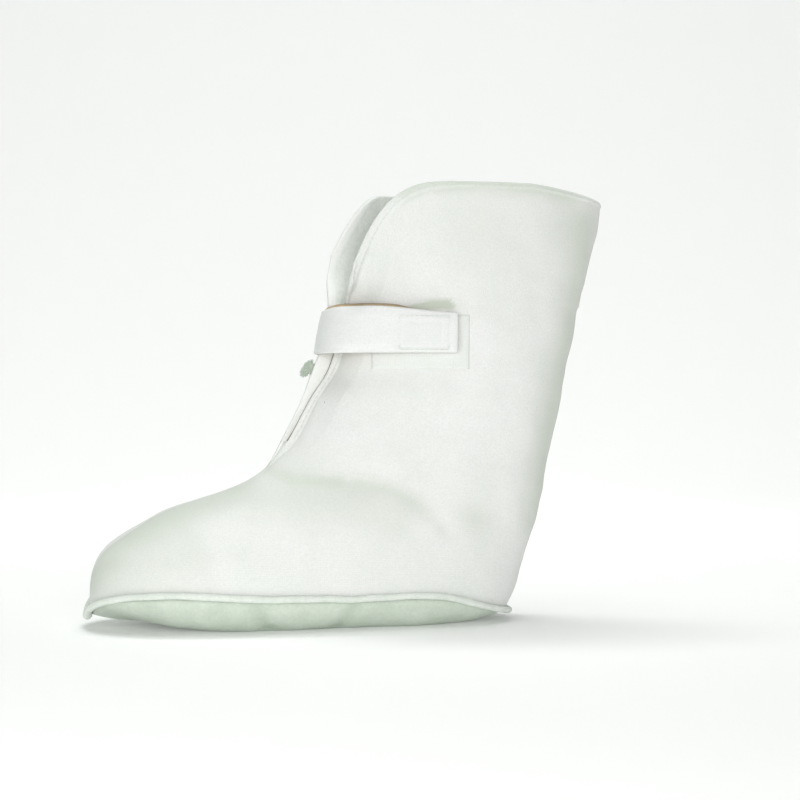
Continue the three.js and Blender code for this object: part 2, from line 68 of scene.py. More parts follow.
FLAT_FRONT = 70.0
FLAT_BACK = 34.0
SOLE_ROUNDING = 17.0
END_ROUNDING = 1.2
FLAT_WIDEST = 0.2

# Slit, hem and collar: a groove runs beside the hem, and the cut edges are rounded
HEM_WIDTH = 7.0
COLLAR_HEM = 4.0
HEM_STEP = 1.1
GROOVE_DEPTH = 0.7
GROOVE_WIDTH = 1.8
EDGE_RADIUS = 2.0
EDGE_FALL = 1.6
SLIT_GAP = 0.8
HALF_OPENING = 26.0
INNER_LEAD = 9.0
VAMP_FLAT = 3.0
OUTER_CORNER = {"drop": 57.0, "reach": 75.0, "round": 3.8}
INNER_CORNER = {"drop": 45.0, "reach": 36.0, "round": 1.7}
COLLAR_FALL = 8.0
COLLAR_FALL_REACH = 64.0
COLLAR_FALL_ROUND = 1.2
# The face of the cloth is turned in round the slit and the collar, and lies a little proud of the pile
FACING_WIDTH = 6.5
FACING_EXTRA = 5
FACING_STEP = 0.4
FACING_SOFTNESS = 1.4
# How far behind the hem the quarters bend softly, and how much of that softness is left below the strap
BEND_REACH = 24.0
LOW_BEND = 0.4

# Strap, tapes and tuft
STRAP_THICKNESS = 3.2
STRAP_BOTTOM = 187.0
STRAP_HEIGHT = 32.0
STRAP_END_HEIGHT = 27.5
STRAP_TAPER = 60.0
STRAP_FREE_REACH = 88.0
STRAP_ROOT_REACH = 68.0
STRAP_STAND_OFF = 9.8
STRAP_ROUND = 2.7
TAPE_THICKNESS = 1.2
TAPE_LIFT = 0.45
TAPE_REST = 0.08
HOOK_TAPE = {"length": 40.0, "past_end": -2.0, "above_strap": 3.0, "height": 20.0}
LOOP_TAPE = {"length": 65.0, "past_end": 9.0, "above_strap": -11.0, "height": 37.0}
STRAP_EDGE = 2.0
TUFT = {"y": 2.6, "below_strap": 10.5, "length": 9.5, "width": 8.0, "height": 13.0}
TUFT_SPREAD = 0.95
TUFT_LEAN = 0.42
TUFT_SHIFT = np.array([2.6, -0.6, 0.4])
LOCKS = 520
STITCH_PITCH = 7.0
# The hem's stitches: their column along the slit, the rows that they leave free below the rim, and how far
# inside the collar's hem they run
STITCH_COLUMN = 6
STITCH_FREE_ROWS = 8
STITCH_INSET = 1.3

# The upper's sections from the sole seam to the collar, as in the CAD: lengths are shares of the foot's
# length, heights of the boot's height, half widths of the ball's width
COLUMNS = ("front_x", "front_z", "back_x", "back_z", "outer", "inner", "widest", "front_round", "back_round",
           "lift", "waist", "lip", "open", "lead")
SECTIONS = np.array([
    [0.000, 0.026, 0.984, 0.022, 0.500, 0.480, 0.33, 2.30, 2.8, 1.00, 1.0, 0, 0, 0],
    [-0.003, 0.072, 1.008, 0.068, 0.522, 0.502, 0.33, 2.35, 2.7, 0.84, 0.9, 0, 0, 0],
    [0.005, 0.122, 1.024, 0.120, 0.520, 0.500, 0.34, 2.40, 2.6, 0.64, 0.7, 0, 0, 0],
    [0.034, 0.168, 1.042, 0.168, 0.498, 0.484, 0.38, 2.50, 2.5, 0.42, 0.5, 0, 0, 0],
    [0.090, 0.212, 1.059, 0.217, 0.466, 0.458, 0.48, 2.70, 2.4, 0.20, 0.3, 0, 0, 0],
    [0.174, 0.260, 1.071, 0.263, 0.440, 0.436, 0.60, 2.60, 2.3, 0.08, 0.1, 0, 0, 0],
    [0.287, 0.296, 1.082, 0.309, 0.424, 0.422, 0.66, 2.40, 2.2, 0.00, 0.0, 0, 0, 0],
    [0.352, 0.319, 1.090, 0.349, 0.416, 0.414, 0.64, 2.30, 2.1, 0.00, 0.0, 0, 0, 0],
    [0.406, 0.355, 1.099, 0.388, 0.412, 0.410, 0.60, 2.20, 2.0, 0.00, 0.0, 0.1, 0, 0],
    [0.456, 0.416, 1.113, 0.444, 0.414, 0.412, 0.56, 2.10, 2.0, 0.00, 0.0, 1, 0, 0.4],
    [0.509, 0.510, 1.130, 0.523, 0.422, 0.420, 0.52, 2.00, 2.0, 0.00, 0.0, 1, 0, 0.55],
    [0.555, 0.582, 1.141, 0.582, 0.430, 0.428, 0.49, 2.05, 2.0, 0.00, 0.0, 1, 0.00, 1.15],
    [0.578, 0.668, 1.162, 0.668, 0.438, 0.436, 0.47, 2.30, 2.0, 0.00, 0.0, 1, 0.18, 0.65],
    [0.589, 0.730, 1.176, 0.730, 0.444, 0.442, 0.47, 2.00, 2.0, 0.00, 0.0, 1, 0.34, 0.92],
    [0.592, 0.730, 1.211, 0.730, 0.450, 0.448, 0.47, 1.60, 2.0, 0.00, 0.0, 1, 0.80, 0.9],
    [0.599, 0.730, 1.230, 0.730, 0.456, 0.454, 0.47, 1.60, 2.0, 0.00, 0.0, 1, 1, 0.71],
])
SLIT_ROW = 9
SHAFT_ROW = 13
COLLAR_ROW = 15

# How fine the meshes are. BAND is the height of a row of faces on the upper. The fan of rows up to the collar
# gets finer at FINE_FAN of its height
OVAL_STEPS = 160
BAND = 1.8
HEM_SHARES = np.array([0, 0.05, 0.12, 0.22, 0.34, 0.48, 0.62, 0.74, 0.84, 0.92, 1.0])
BODY_COLUMNS = 104
COLUMN_CROWDING = 0.3
FINE_FAN = 0.86
FAN_ROWS = (26, 18)
SOLE_RINGS = 30
ROLL_STEPS = 620
ROLL_SIDES = 16
STRAP_ROWS = 36
STRAP_COLUMNS = 120
TAPE_GRID = (40, 64)
LOCK_RINGS = 6
LOCK_SIDES = 4
STITCH_RINGS = 5
STITCH_SIDES = 6

# Soft random reliefs: rows of height, wavelength and seed, each the sum of this many plane waves
PLANE_WAVES = 9
UPPER_WAVES = ((0.55, 46, 3), (0.22, 15, 4))
SOLE_WAVES = ((0.5, 48, 11), (0.25, 14, 12))
ROLL_WAVES = ((1.9, 60, 22), (0.2, 19, 23))
ROLL_SIZE_WAVES = ((0.07, 26, 21),)
STRAP_WAVES = ((0.35, 30, 31),)

# Dents of the sole's edge: side, place as a share of the foot's length, lean, depth and width. The sole is
# painted darker towards the floor and in the dents, as painted shade, in shares of its shade colour
SOLE_DENTS = ((-1, 0.380, -0.5, 2.2, 6.5), (-1, 0.580, 0.7, 2.0, 6.0), (1, 0.450, 0.4, 1.2, 10.0))
SOLE_PAINTED_SHADE = 0.45
DENT_PAINTED_SHADE = 0.25
DENT_LEVEL = 10

# Room and camera, in metres
ROOM_RADIUS = 3.4
ROOM_BEND = 2.0
ROOM_HEIGHT = 2.8
FLOOR_GLOW = 0.11
CAMERA_PLACE = (-0.1741, -1.0802, 0.155)
CAMERA_LOOK = (0.1908, 0.9816, 0.0)
CAMERA_LENS = 70.1

# Order of a quad's corners that turns it over
TURNED_OVER = [0, 3, 2, 1]


def smooth(low, high, value):
    """0 below low, 1 above high, and a soft step between them."""
    t = np.clip((value - low) / (high - low), 0, 1)
    return t * t * (3 - 2 * t)


def until(edge, before, after, value):
    """1 up to an edge and 0 behind it: the soft step begins and ends at distances before and after it."""
    return 1 - smooth(edge - before, edge + after, value)


def bell(distance, width):
    """1 at no distance, falling to both sides as a bell of the width."""
    return np.exp(-(distance / width) ** 2)


def half_width(s, side):
    """Half the width of sections on the outer (-1) or inner (1) side."""
    return s["outer" if side < 0 else "inner"] * BALL_WIDTH


def section_at(place):
    """The sections' values at places between them: a cubic through each value and its neighbours."""
    place = np.asarray(place, float)
    i = np.clip(np.floor(place).astype(int), 0, len(SECTIONS) - 2)
    t = (place - i)[..., None]
    a, b, c, d = (SECTIONS[np.clip(i + k, 0, len(SECTIONS) - 1)] for k in (-1, 0, 1, 2))
    value = ((2 * t ** 3 - 3 * t ** 2 + 1) * b + (t ** 3 - 2 * t ** 2 + t) * (c - a) / 2
             + (3 * t ** 2 - 2 * t ** 3) * c + (t ** 3 - t ** 2) * (d - b) / 2)
    return {name: value[..., k] for k, name in enumerate(COLUMNS)}


def half_oval(s, front_x, back_x, face_y, half, widest, front_round, waist):
    """Half an outline seen from above: two quarters of a superellipse that meet at the widest place, the back
    one drawn in by a squared half wave of depth waist."""
    front_x, back_x, face_y, half, widest, front_round, waist, back_round = (
        np.asarray(v, float)[..., None]
        for v in (front_x, back_x, face_y, half, widest, front_round, waist, s["back_round"]))
    angle = np.linspace(0, np.pi / 2, OVAL_STEPS + 1)
    middle = front_x + (back_x - front_x) * widest
    x_front = middle - (middle - front_x) * np.cos(angle) ** (2 / front_round)
    y_front = face_y + (half - face_y) * np.sin(angle) ** (2 / front_round)
    x_back = middle + (back_x - middle) * np.sin(angle[1:]) ** (2 / back_round)
    share = (x_back - middle) / (back_x - middle)
    pinch = waist * np.sin(np.pi * np.minimum(share / WAIST_PLACE, 1)) ** 2
    y_back = half * np.cos(angle[1:]) ** (2 / back_round) - pinch
    x = np.concatenate([x_front, x_back], -1)
    y = np.concatenate([y_front, y_back], -1)
    return np.stack([x, y], -1)


def lengths_of(path):
    """Distance from the start of each row's path to each of its points."""
    steps = np.linalg.norm(np.diff(path, axis=-2), axis=-1)
    start = np.zeros(steps.shape[:-1] + (1,))
    return np.concatenate([start, np.cumsum(steps, -1)], -1)


def along(path, distances):
    """Points at the given distances along each row's path, straight between its points."""
    lengths = lengths_of(path)
    wanted = np.clip(distances, 0, lengths[:, -1:])
    i = np.clip((lengths[:, None, :] <= wanted[:, :, None]).sum(-1), 1, path.shape[1] - 1)
    row = np.arange(len(path))[:, None]
    low, high = lengths[row, i - 1], lengths[row, i]
    t = ((wanted - low) / np.maximum(high - low, 1e-9))[..., None]
    return path[row, i - 1] * (1 - t) + path[row, i] * t


def columns_of(total, base):
    """Distances of the columns along each row: shares of the hem up to its base, then a share of the rest
    that a sine crowds at the front and the back."""
    share = np.arange(1, BODY_COLUMNS + 1) / BODY_COLUMNS
    crowded = share - COLUMN_CROWDING * np.sin(2 * np.pi * share) / (2 * np.pi)
    base, total = np.broadcast_to(base, np.shape(total))[:, None], np.asarray(total)[:, None]
    return np.concatenate([base * HEM_SHARES, base + (total - base) * crowded], 1)


def toe_swing(x):
    """How far the toe swings to the inner side: a square of the distance in front of the waist."""
    return TOE_TURN * np.clip(1 - x / (TURN_REACH * FOOT_LENGTH), 0, 1) ** 2


def collar_height(x, side):
    """Height of the collar: it drops by a power to its front corner and falls by another to the back."""
    corner = OUTER_CORNER if side < 0 else INNER_CORNER
    top = dict(zip(COLUMNS, SECTIONS[COLLAR_ROW]))
    corner_x = top["front_x"] * FOOT_LENGTH - (0 if side < 0 else top["lead"] * INNER_LEAD)
    near = np.clip((x - corner_x) / corner["reach"], 0, 1)
    behind = np.maximum((x - (top["back_x"] * FOOT_LENGTH - COLLAR_FALL_REACH)) / COLLAR_FALL_REACH, 0)
    drop = corner["drop"] * (1 - near) ** corner["round"]
    return BOOT_HEIGHT - drop - COLLAR_FALL * behind ** COLLAR_FALL_ROUND


def level_at(s, place, x, side):
    """Height of a section at x: straight from its front to its back, and a fan up to the collar above the
    shaft's last straight row."""
    t = (x / FOOT_LENGTH - s["front_x"]) / (s["back_x"] - s["front_x"])
    level = (s["front_z"] + (s["back_z"] - s["front_z"]) * t) * BOOT_HEIGHT
    fan = np.maximum(place - SHAFT_ROW, 0) / (COLLAR_ROW - SHAFT_ROW)
    return level + fan * (collar_height(x, side) - level)


def soft_bend(path, distances, base, softness):
    """Points along each row's path, where the corner between the hem and the shaft opens by the softness to a
    parabola from the edge to BEND_REACH behind the hem's base."""
    points = along(path, distances)
    edge, corner, behind = np.moveaxis(along(path, np.stack([base * 0, base, base + BEND_REACH], -1)), 1, 0)
    t = np.clip(distances / (base + BEND_REACH)[:, None], 0, 1)[..., None]
    curve = (1 - t) ** 2 * edge[:, None] + 2 * t * (1 - t) * corner[:, None] + t ** 2 * behind[:, None]
    return points + (curve - points) * softness[:, None, None] * (t < 1)


def half_upper(place, side):
    """Half of the outer skin, a row for each place: its points, their distances from the front edge, and the
    distance of the hem's base."""
    place = np.atleast_1d(np.asarray(place, float))
    s = section_at(place)
    front_x, back_x = s["front_x"] * FOOT_LENGTH, s["back_x"] * FOOT_LENGTH
    half = half_width(s, side)
    lip = s["lip"] * HEM_WIDTH
    lead = s["lead"] * INNER_LEAD * (side > 0)
    face_y = VAMP_FLAT + s["lip"] * (WALL + SLIT_GAP / 2 - VAMP_FLAT) + s["open"] * HALF_OPENING
    oval = half_oval(s, front_x + lip, back_x, face_y, half, s["widest"], s["front_round"],
                     s["waist"] * WAIST_DEPTH)
    edge_x = np.where(lip > 0.01, front_x - lead, front_x + lip)
    path = np.concatenate([np.stack([edge_x, face_y], -1)[:, None, :], oval], 1)
    base = HEM_WIDTH + lead
    distances = columns_of(lengths_of(path)[:, -1], base)
    above_strap = smooth(STRAP_BOTTOM + 2, STRAP_BOTTOM + 22, s["front_z"] * BOOT_HEIGHT)
    softness = s["lip"] * (LOW_BEND + (1 - LOW_BEND) * above_strap)
    x, y = np.moveaxis(soft_bend(path, distances, base, softness), -1, 0)
    rows = {name: value[:, None] for name, value in s.items()}
    t = (x - front_x[:, None]) / (back_x - front_x)[:, None]
    beside_ball = 1 + BALL_LIFT * (1 - smooth(*BALL_LIFT_ENDS, t))
    before_heel = 1 - smooth(*HEEL_FALL, t)
    to_side = 1 - (1 - np.minimum(y / half[:, None], 1)) ** RISE_ROUND
    lift = rows["lift"] * SEAM_LIFT * beside_ball * before_heel * to_side
    z = level_at(rows, place[:, None], x, side) + lift
    points = np.stack([x, side * y + toe_swing(x), z], -1)
    return points, distances, np.broadcast_to(base[:, None], distances.shape)


def both_halves(outer, inner):
    """Whole rows: the outer side from the front edge to the back, then the inner side to its front edge."""
    return np.concatenate([outer, inner[:, -2::-1]], 1)


def unit(vectors):
    """The vectors, one unit long."""
    return vectors / np.maximum(np.linalg.norm(vectors, axis=-1, keepdims=True), 1e-12)


def direction(before, point, after):
    """Unit direction of a line through three of its points, the nearer neighbour counting most."""
    arriving, leaving = point - before, after - point
    near = np.linalg.norm(arriving, axis=-1, keepdims=True)
    far = np.linalg.norm(leaving, axis=-1, keepdims=True)
    line = arriving * far ** 2 + leaving * near ** 2
    line = np.where(near < 1e-9, leaving, np.where(far < 1e-9, arriving, line))
    return unit(line)


def grid_normals(points, closed_rows, level_from=None):
    """Normals of a grid: the direction along each row crossed with the direction up each column. Rows below
    closed_rows run round, and from row level_from on the direction along a row is taken level."""
    right = np.concatenate([points[:, 1:], points[:, -1:]], 1)
    left = np.concatenate([points[:, :1], points[:, :-1]], 1)
    right[:closed_rows, -1] = points[:closed_rows, 0]
    left[:closed_rows, 0] = points[:closed_rows, -1]
    above = np.concatenate([points[1:], points[-1:]], 0)
    below = np.concatenate([points[:1], points[:-1]], 0)
    sideways = direction(left, points, right)
    if level_from is not None:
        sideways[level_from:, :, 2] = 0
    return unit(np.cross(sideways, direction(below, points, above)))


def grid_faces(index, closed=False):
    """Quads between neighbouring points of a grid of vertex numbers, round each row too if it is closed."""
    if closed:
        index = np.concatenate([index, index[:, :1]], 1)
    return np.stack([index[:-1, :-1], index[:-1, 1:], index[1:, 1:], index[1:, :-1]], -1).reshape(-1, 4)


def strip(first, second):
    """Quads between two lines of vertex numbers."""
    return np.stack([first[:-1], first[1:], second[1:], second[:-1]], -1)


def cap(ring):
    """Quads across rings of vertex numbers, between the points that face each other. In a ring with an odd
    number of points a triangle stays open at the middle one."""
    count = ring.shape[-1]
    k = np.arange(count // 2 - 1)
    corners = [ring[..., k], ring[..., count - 1 - k], ring[..., count - 2 - k], ring[..., k + 1]]
    return np.stack(corners, -1).reshape(-1, 4)


def two_skins(outer, inner):
    """The points of an outer and an inner skin in one list, and the grid of vertex numbers of each."""
    at = np.arange(outer[..., 0].size).reshape(outer.shape[:-1])
    return np.concatenate([outer.reshape(-1, 3), inner.reshape(-1, 3)]), at, at + at.size


def slab_faces(at, inside):
    """Quads of a slab between two grids: its face, the rims of its ends and foot, its top rim, its back."""
    rims = [strip(at[:, 0], inside[:, 0]), strip(inside[:, -1], at[:, -1]), strip(inside[0], at[0])]
    return grid_faces(at), np.concatenate(rims), strip(at[-1], inside[-1]), grid_faces(inside)[:, ::-1]


def ripples(points, waves):
    """A soft random relief: for each row of waves, plane waves in random directions are added up to between
    about -1 and 1 and multiplied by the row's height."""
    relief = 0
    for height, wavelength, seed in waves:
        rng = np.random.default_rng(seed)
        directions = unit(rng.normal(size=(PLANE_WAVES, 3)))
        frequency = directions / (wavelength * rng.uniform(0.7, 1.5, (PLANE_WAVES, 1)))
        phase = rng.uniform(0, 2 * np.pi, PLANE_WAVES)
        swing = np.sin(2 * np.pi * points @ frequency.T + phase).sum(-1)
        relief = relief + height * (swing * (2 / PLANE_WAVES) ** 0.5 / 2)
    return relief


def rounded(distance, radius):
    """How far a surface falls away beside an edge: a quarter circle of the radius, as a share of it."""
    return 1 - np.sqrt(1 - (1 - np.clip(distance / radius, 0, 1)) ** 2)


def line_relief(points, line, width, ends):
    """1 along a line of points and falling to 0 across its width as a bell, and fading over both its ends."""
    line = np.asarray(line, float)
    starts, steps = line[:-1], np.diff(line, axis=0)
    lengths = np.linalg.norm(steps, axis=-1)
    begun = np.concatenate([[0], np.cumsum(lengths)])
    offset = points[..., None, :] - starts
    t = np.clip((offset * steps).sum(-1) / lengths ** 2, 0, 1)
    distance = np.linalg.norm(offset - t[..., None] * steps, axis=-1)
    nearest = distance.argmin(-1)[..., None]
    run = begun[:-1] + t * lengths
    distance, run = (np.take_along_axis(v, nearest, -1)[..., 0] for v in (distance, run))
    fade = smooth(0, ends, run) * (1 - smooth(begun[-1] - ends, begun[-1], run))
    return bell(distance, width) * fade


# Creases of the upper: side, height above (+) or below (-) the cloth, width, length over which both
# ends fade, and a line through [share of the foot's length, share of the boot's height]
CREASES = [
    (-1, -1.4, 6.5, 16, [[0.385, 0.372], [0.42, 0.355], [0.462, 0.340], [0.515, 0.336], [0.58, 0.332]]),
    (-1, -1.4, 8.0, 22,
     [[0.52, 0.335], [0.61, 0.330], [0.68, 0.318], [0.735, 0.290], [0.79, 0.240], [0.83, 0.175]]),
    (-1, 1.6, 13.0, 25, [[0.45, 0.408], [0.56, 0.390], [0.68, 0.376], [0.78, 0.335]]),
    (-1, -1.0, 10.0, 18, [[0.79, 0.305], [0.86, 0.268], [0.93, 0.240], [1.00, 0.222]]),
    (-1, 0.9, 14.0, 20, [[0.44, 0.290], [0.56, 0.268], [0.66, 0.250]]),
    (-1, -0.7, 9.0, 25, [[0.24, 0.215], [0.33, 0.235], [0.43, 0.250]]),
    (-1, -0.7, 9.0, 20, [[0.90, 0.70], [0.99, 0.755], [1.08, 0.79]]),
    (1, -1.6, 7.0, 18, [[0.41, 0.365], [0.49, 0.343], [0.58, 0.332], [0.67, 0.318], [0.75, 0.275]]),
    (1, 1.3, 13.0, 25, [[0.47, 0.400], [0.58, 0.385], [0.70, 0.365], [0.80, 0.320]]),
    (1, -1.1, 8.0, 18, [[0.76, 0.300], [0.84, 0.262], [0.93, 0.236]]),
    (1, -0.8, 9.0, 25, [[0.24, 0.220], [0.34, 0.240], [0.44, 0.255]]),
    (1, -1.2, 6.0, 15, [[0.78, 0.700], [0.86, 0.735], [0.95, 0.745]]),
]
# The cloth tucks in above the strap: a soft hollow down to the strap, and a fold along its top
TUCKS = [
    (-1, -1.6, 6.0, 11, [[0.705, 0.705], [0.755, 0.716], [0.80, 0.722], [0.845, 0.706]]),
    (-1, -1.3, 2.6, 7,
     [[0.700, 0.706], [0.742, 0.727], [0.775, 0.738], [0.803, 0.743], [0.820, 0.731], [0.838, 0.705]]),
]
# Painted shade: where the cloth is painted darker for the shade that falls there, with shares of the shade
# colour for heights: under the folds, along the back edge and the front edge, at the toe, at the collar and
# over the upper shaft, then on the inner side
SHADES = [
    (-1, 0.28, 4.5, 5, [[0.375, 0.372], [0.42, 0.350], [0.462, 0.334], [0.515, 0.330], [0.58, 0.328]]),
    (-1, 0.22, 5.0, 22,
     [[0.54, 0.328], [0.61, 0.324], [0.68, 0.310], [0.735, 0.282], [0.79, 0.232], [0.83, 0.165]]),
    (-1, 0.28, 19.0, 30,
     [[0.28, 0.305], [0.42, 0.300], [0.52, 0.295], [0.62, 0.285], [0.70, 0.255], [0.77, 0.200]]),
    (-1, 0.28, 11.0, 30, [[0.80, 0.285], [0.88, 0.240], [0.96, 0.205]]),
    (-1, 0.48, 15.0, 30, [[1.16, 1.0], [1.16, 0.80], [1.12, 0.60], [1.07, 0.40], [1.04, 0.15]]),
    (-1, 0.42, 10.0, 20,
     [[-0.01, 0.04], [0.01, 0.13], [0.07, 0.20], [0.16, 0.245], [0.27, 0.285], [0.38, 0.35]]),
    (-1, 0.22, 30.0, 20, [[0.02, 0.06], [0.08, 0.12], [0.18, 0.17], [0.28, 0.21]]),
    (-1, 0.45, 7.0, 20, [[0.66, 0.96], [0.76, 0.995], [0.90, 1.0], [1.05, 0.99], [1.17, 0.97]]),
    (-1, 0.16, 34.0, 30, [[0.76, 0.88], [0.95, 0.88], [1.15, 0.86]]),
    (1, 0.25, 6.0, 20, [[0.41, 0.357], [0.49, 0.335], [0.58, 0.324], [0.67, 0.310], [0.75, 0.267]]),
    (1, 0.20, 20.0, 40, [[0.32, 0.29], [0.50, 0.285], [0.66, 0.26], [0.77, 0.20]]),
]
# The wedge of shade in the tuck, down to the strap
WEDGE = [
    (-1, 1.0, 3.6, 10,
     [[0.702, 0.706], [0.742, 0.716], [0.775, 0.722], [0.806, 0.726], [0.824, 0.718], [0.838, 0.704]]),
]
BACK_DENT = {"x": 1.215, "z": 0.84, "height": -1.5, "width": 13.0}


def relief_of(table, points, reach=(-4, 14)):
    """Height of a table's creases at points of the outer skin, each on its own side of the boot. reach is
    where a crease fades in across the middle."""
    relief = np.zeros(points.shape[:-1])
    for side, height, width, ends, line in table:
        on_side = smooth(*reach, points[..., 1] * side)
        line = np.array(line) * [FOOT_LENGTH, BOOT_HEIGHT]
        relief += height * on_side * line_relief(points[..., [0, 2]], line, width, ends)
    return relief


def back_dent(points):
    """Depth of the soft dent at the back of the shaft: a bell round its middle."""
    middle = [BACK_DENT["x"] * FOOT_LENGTH, BACK_DENT["z"] * BOOT_HEIGHT]
    away = np.linalg.norm(points[..., [0, 2]] - middle, axis=-1)
    return BACK_DENT["height"] * bell(away, BACK_DENT["width"])


def upper_rows():
    """Places of the rows: bands of about the same height up to the shaft, and a fan, finer at the hem."""
    levels = (SECTIONS[:, 1] + SECTIONS[:, 3]) / 2 * BOOT_HEIGHT
    lower = []
    for i in range(SHAFT_ROW):
        bands = max(int(round((levels[i + 1] - levels[i]) / BAND)), 3)
        lower.append(i + np.arange(bands) / bands)
    steady, fine = FAN_ROWS
    fan = np.concatenate([np.linspace(0, FINE_FAN, steady), np.linspace(FINE_FAN, 1, fine)[1:]])
    return np.concatenate(lower + [SHAFT_ROW + (COLLAR_ROW - SHAFT_ROW) * fan])


def near_strap(points):
    """1 under the strap and the loop tape on the outer side, where no relief may rise, and 0 elsewhere."""
    x, y, z = np.moveaxis(points, -1, 0)
    # From below the tape to above the strap, and up to behind the tape's end
    across = smooth(168, 180, z) * (1 - smooth(222, 234, z))
    return across * (1 - smooth(258, 272, x)) * (1 - 0.3 * smooth(-10, 10, y) * smooth(225, 240, x))


def build_upper():
    """The upper's outer skin with its hem and creases, the pile skin one wall further in, and rounded edges
    between the two. The lines of the hem's stitches come with it."""
    place = upper_rows()
    halves = zip(half_upper(place, -1), half_upper(place, 1))
    points, edge_distance, base = (both_halves(*pair) for pair in halves)
    rows, width = edge_distance.shape
    last = width - 1
    side = np.where(np.arange(width) < last // 2, -1, 1) * np.ones((rows, 1))
    slit_at, shaft_at = (int(np.argmax(place >= row - 1e-9)) for row in (SLIT_ROW, SHAFT_ROW))
    normals = grid_normals(points, slit_at, shaft_at)
    # The cloth is upright along the sole seam and along the collar
    for end in (0, -1):
        normals[end] = unit(normals[end] * [1, 1, 0])

    x, _, z = np.moveaxis(points, -1, 0)
    collar, ahead = (np.where(side < 0, collar_height(v, -1), collar_height(v, 1)) for v in (x, x + 1))
    below_collar = np.maximum(collar - z, 0) / np.hypot(1, ahead - collar)
    behind_corner = x - np.where(side < 0, x[-1, 0], x[-1, -1])
    band = COLLAR_HEM + (HEM_WIDTH - COLLAR_HEM) * (1 - smooth(0, OUTER_CORNER["reach"], behind_corner))
    on_slit = smooth(SLIT_ROW - 1, SLIT_ROW, place)[:, None]
    above_strap = smooth(STRAP_BOTTOM + 15, STRAP_BOTTOM + STRAP_HEIGHT + 12, z)
    past_corner = smooth(10, OUTER_CORNER["reach"] + 20, behind_corner)
    # The slit's hem is flatter above the strap, and the collar's behind its corner
    slit_hem = on_slit * until(base, 3.0, 0.4, edge_distance) * (0.7 - 0.2 * above_strap)
    collar_hem = until(band, 2.0, 0.6, below_collar) * (1 - 0.55 * past_corner)
    slit_groove = on_slit * bell(edge_distance - base - 0.8, GROOVE_WIDTH) * (0.5 - 0.25 * above_strap)
    collar_groove = bell(below_collar - band - 1.2, GROOVE_WIDTH) * (1 - 0.9 * past_corner)
    hem = HEM_STEP * np.maximum(slit_hem, collar_hem) - GROOVE_DEPTH * np.maximum(slit_groove, collar_groove)
    opens = smooth(SLIT_ROW - 0.02, SLIT_ROW + 0.9, place)[:, None]
    falling = np.maximum(rounded(edge_distance, EDGE_RADIUS) * opens, rounded(below_collar, EDGE_RADIUS))
    cloth_relief = ripples(points, UPPER_WAVES) * (smooth(0, 3, place)[:, None] * (1 - 0.5 * collar_hem))
    relief = relief_of(CREASES, points) + back_dent(points) + relief_of(TUCKS, points) + cloth_relief
    relief -= near_strap(points) * np.maximum(relief, 0)
    relief *= smooth(0, 6, z - z[0])

    below_strap = 1 - smooth(STRAP_BOTTOM + 4, STRAP_BOTTOM + STRAP_HEIGHT - 6, z)
    # The facing is wider than the hem below the strap, and narrows behind the collar's corner
    slit_facing = FACING_WIDTH + (base + FACING_EXTRA - FACING_WIDTH) * below_strap
    collar_facing = FACING_WIDTH * (1 - 0.7 * smooth(8, 42, behind_corner))
    soft = FACING_SOFTNESS
    facing = np.maximum(on_slit * until(slit_facing, soft, soft, edge_distance),
                        until(collar_facing, soft, soft, below_collar))
    outer = points + normals * (hem + relief - EDGE_FALL * falling)[..., None]
    inner = points - normals * (WALL - relief + FACING_STEP * facing - EDGE_FALL * falling)[..., None]
    # The inner skins stay on their own sides of the centre line, as far apart as the slit's edges
    centre = toe_swing(x)
    apart = SLIT_GAP / 2 * smooth(SLIT_ROW + 0.05, SLIT_ROW + 0.9, place)[:, None]
    kept_out = centre + side * np.maximum(side * (inner[..., 1] - centre), apart)
    inner[..., 1] = np.where(place[:, None] > SLIT_ROW - 1, kept_out, inner[..., 1])

    vertices, at, inside = two_skins(outer, inner)
    skin, pile = (np.concatenate([grid_faces(grid), grid_faces(grid[:slit_at + 1, [last, 0]])])
                  for grid in (at, inside))
    # The near lip's rim below the strap's middle takes the dark cut edge, painted as the shade in the slit's
    # crevice
    closed = int(np.argmax(z[:, 0] > STRAP_BOTTOM + STRAP_HEIGHT / 2))
    cut = strip(at[slit_at:closed + 1, 0], inside[slit_at:closed + 1, 0])
    rims = np.concatenate([
        strip(at[closed:, 0], inside[closed:, 0]),
        strip(inside[slit_at:, last], at[slit_at:, last]),
        strip(at[-1], inside[-1]),
        strip(inside[0], at[0]),
        [[at[0, last], inside[0, last], inside[0, 0], at[0, 0]]],
        [[at[slit_at, last], at[slit_at, 0], inside[slit_at, 0], inside[slit_at, last]]],
    ])
    # The quads that bridge the closed front just below the slit are flat, and so is the slit's foot
    bridge = (rows - 1) * last + np.flatnonzero(place[:slit_at] > SLIT_ROW - 0.8)
    upwards = lengths_of(np.moveaxis(points, 0, 1)).T
    piece = mesh_piece("upper_shell", vertices, (skin, rims, cut, pile[:, ::-1]),
                       [fleece_face, wool_pile, cut_skin_in_painted_shade], slots=(0, 0, 2, 1),
                       cloth_map=np.stack([side * (edge_distance + VAMP_FLAT), upwards], -1),
                       flat=[*bridge, len(skin) + len(rims) - 1])
    # Painted shade: darker under the folds, along the edges, at the toe and collar, in the tuck and the hem's
    # groove
    painted_shade_and_facing = relief_of(SHADES, points, (-10, 2)) + 0.75 * smooth(0.2, 0.7, relief_of(WEDGE, points))
    painted_shade_and_facing += 0.15 * smooth(0.2, 0.9, slit_groove)
    vertex_attribute(piece, "painted_shade_and_facing_mask", np.clip(painted_shade_and_facing, 0, 1), painted_shade_and_facing * 0)
    vertex_attribute(piece, "turned_in", facing * 0, facing)
    return piece, hem_lines(outer, normals, slit_at, below_collar, band[-1])


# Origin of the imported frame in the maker's frame
seam_low, seam_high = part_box("sole_seam")
ORIGIN_X = -SEAM_GAP - SEAM_WIDTH - seam_low.x * 1000


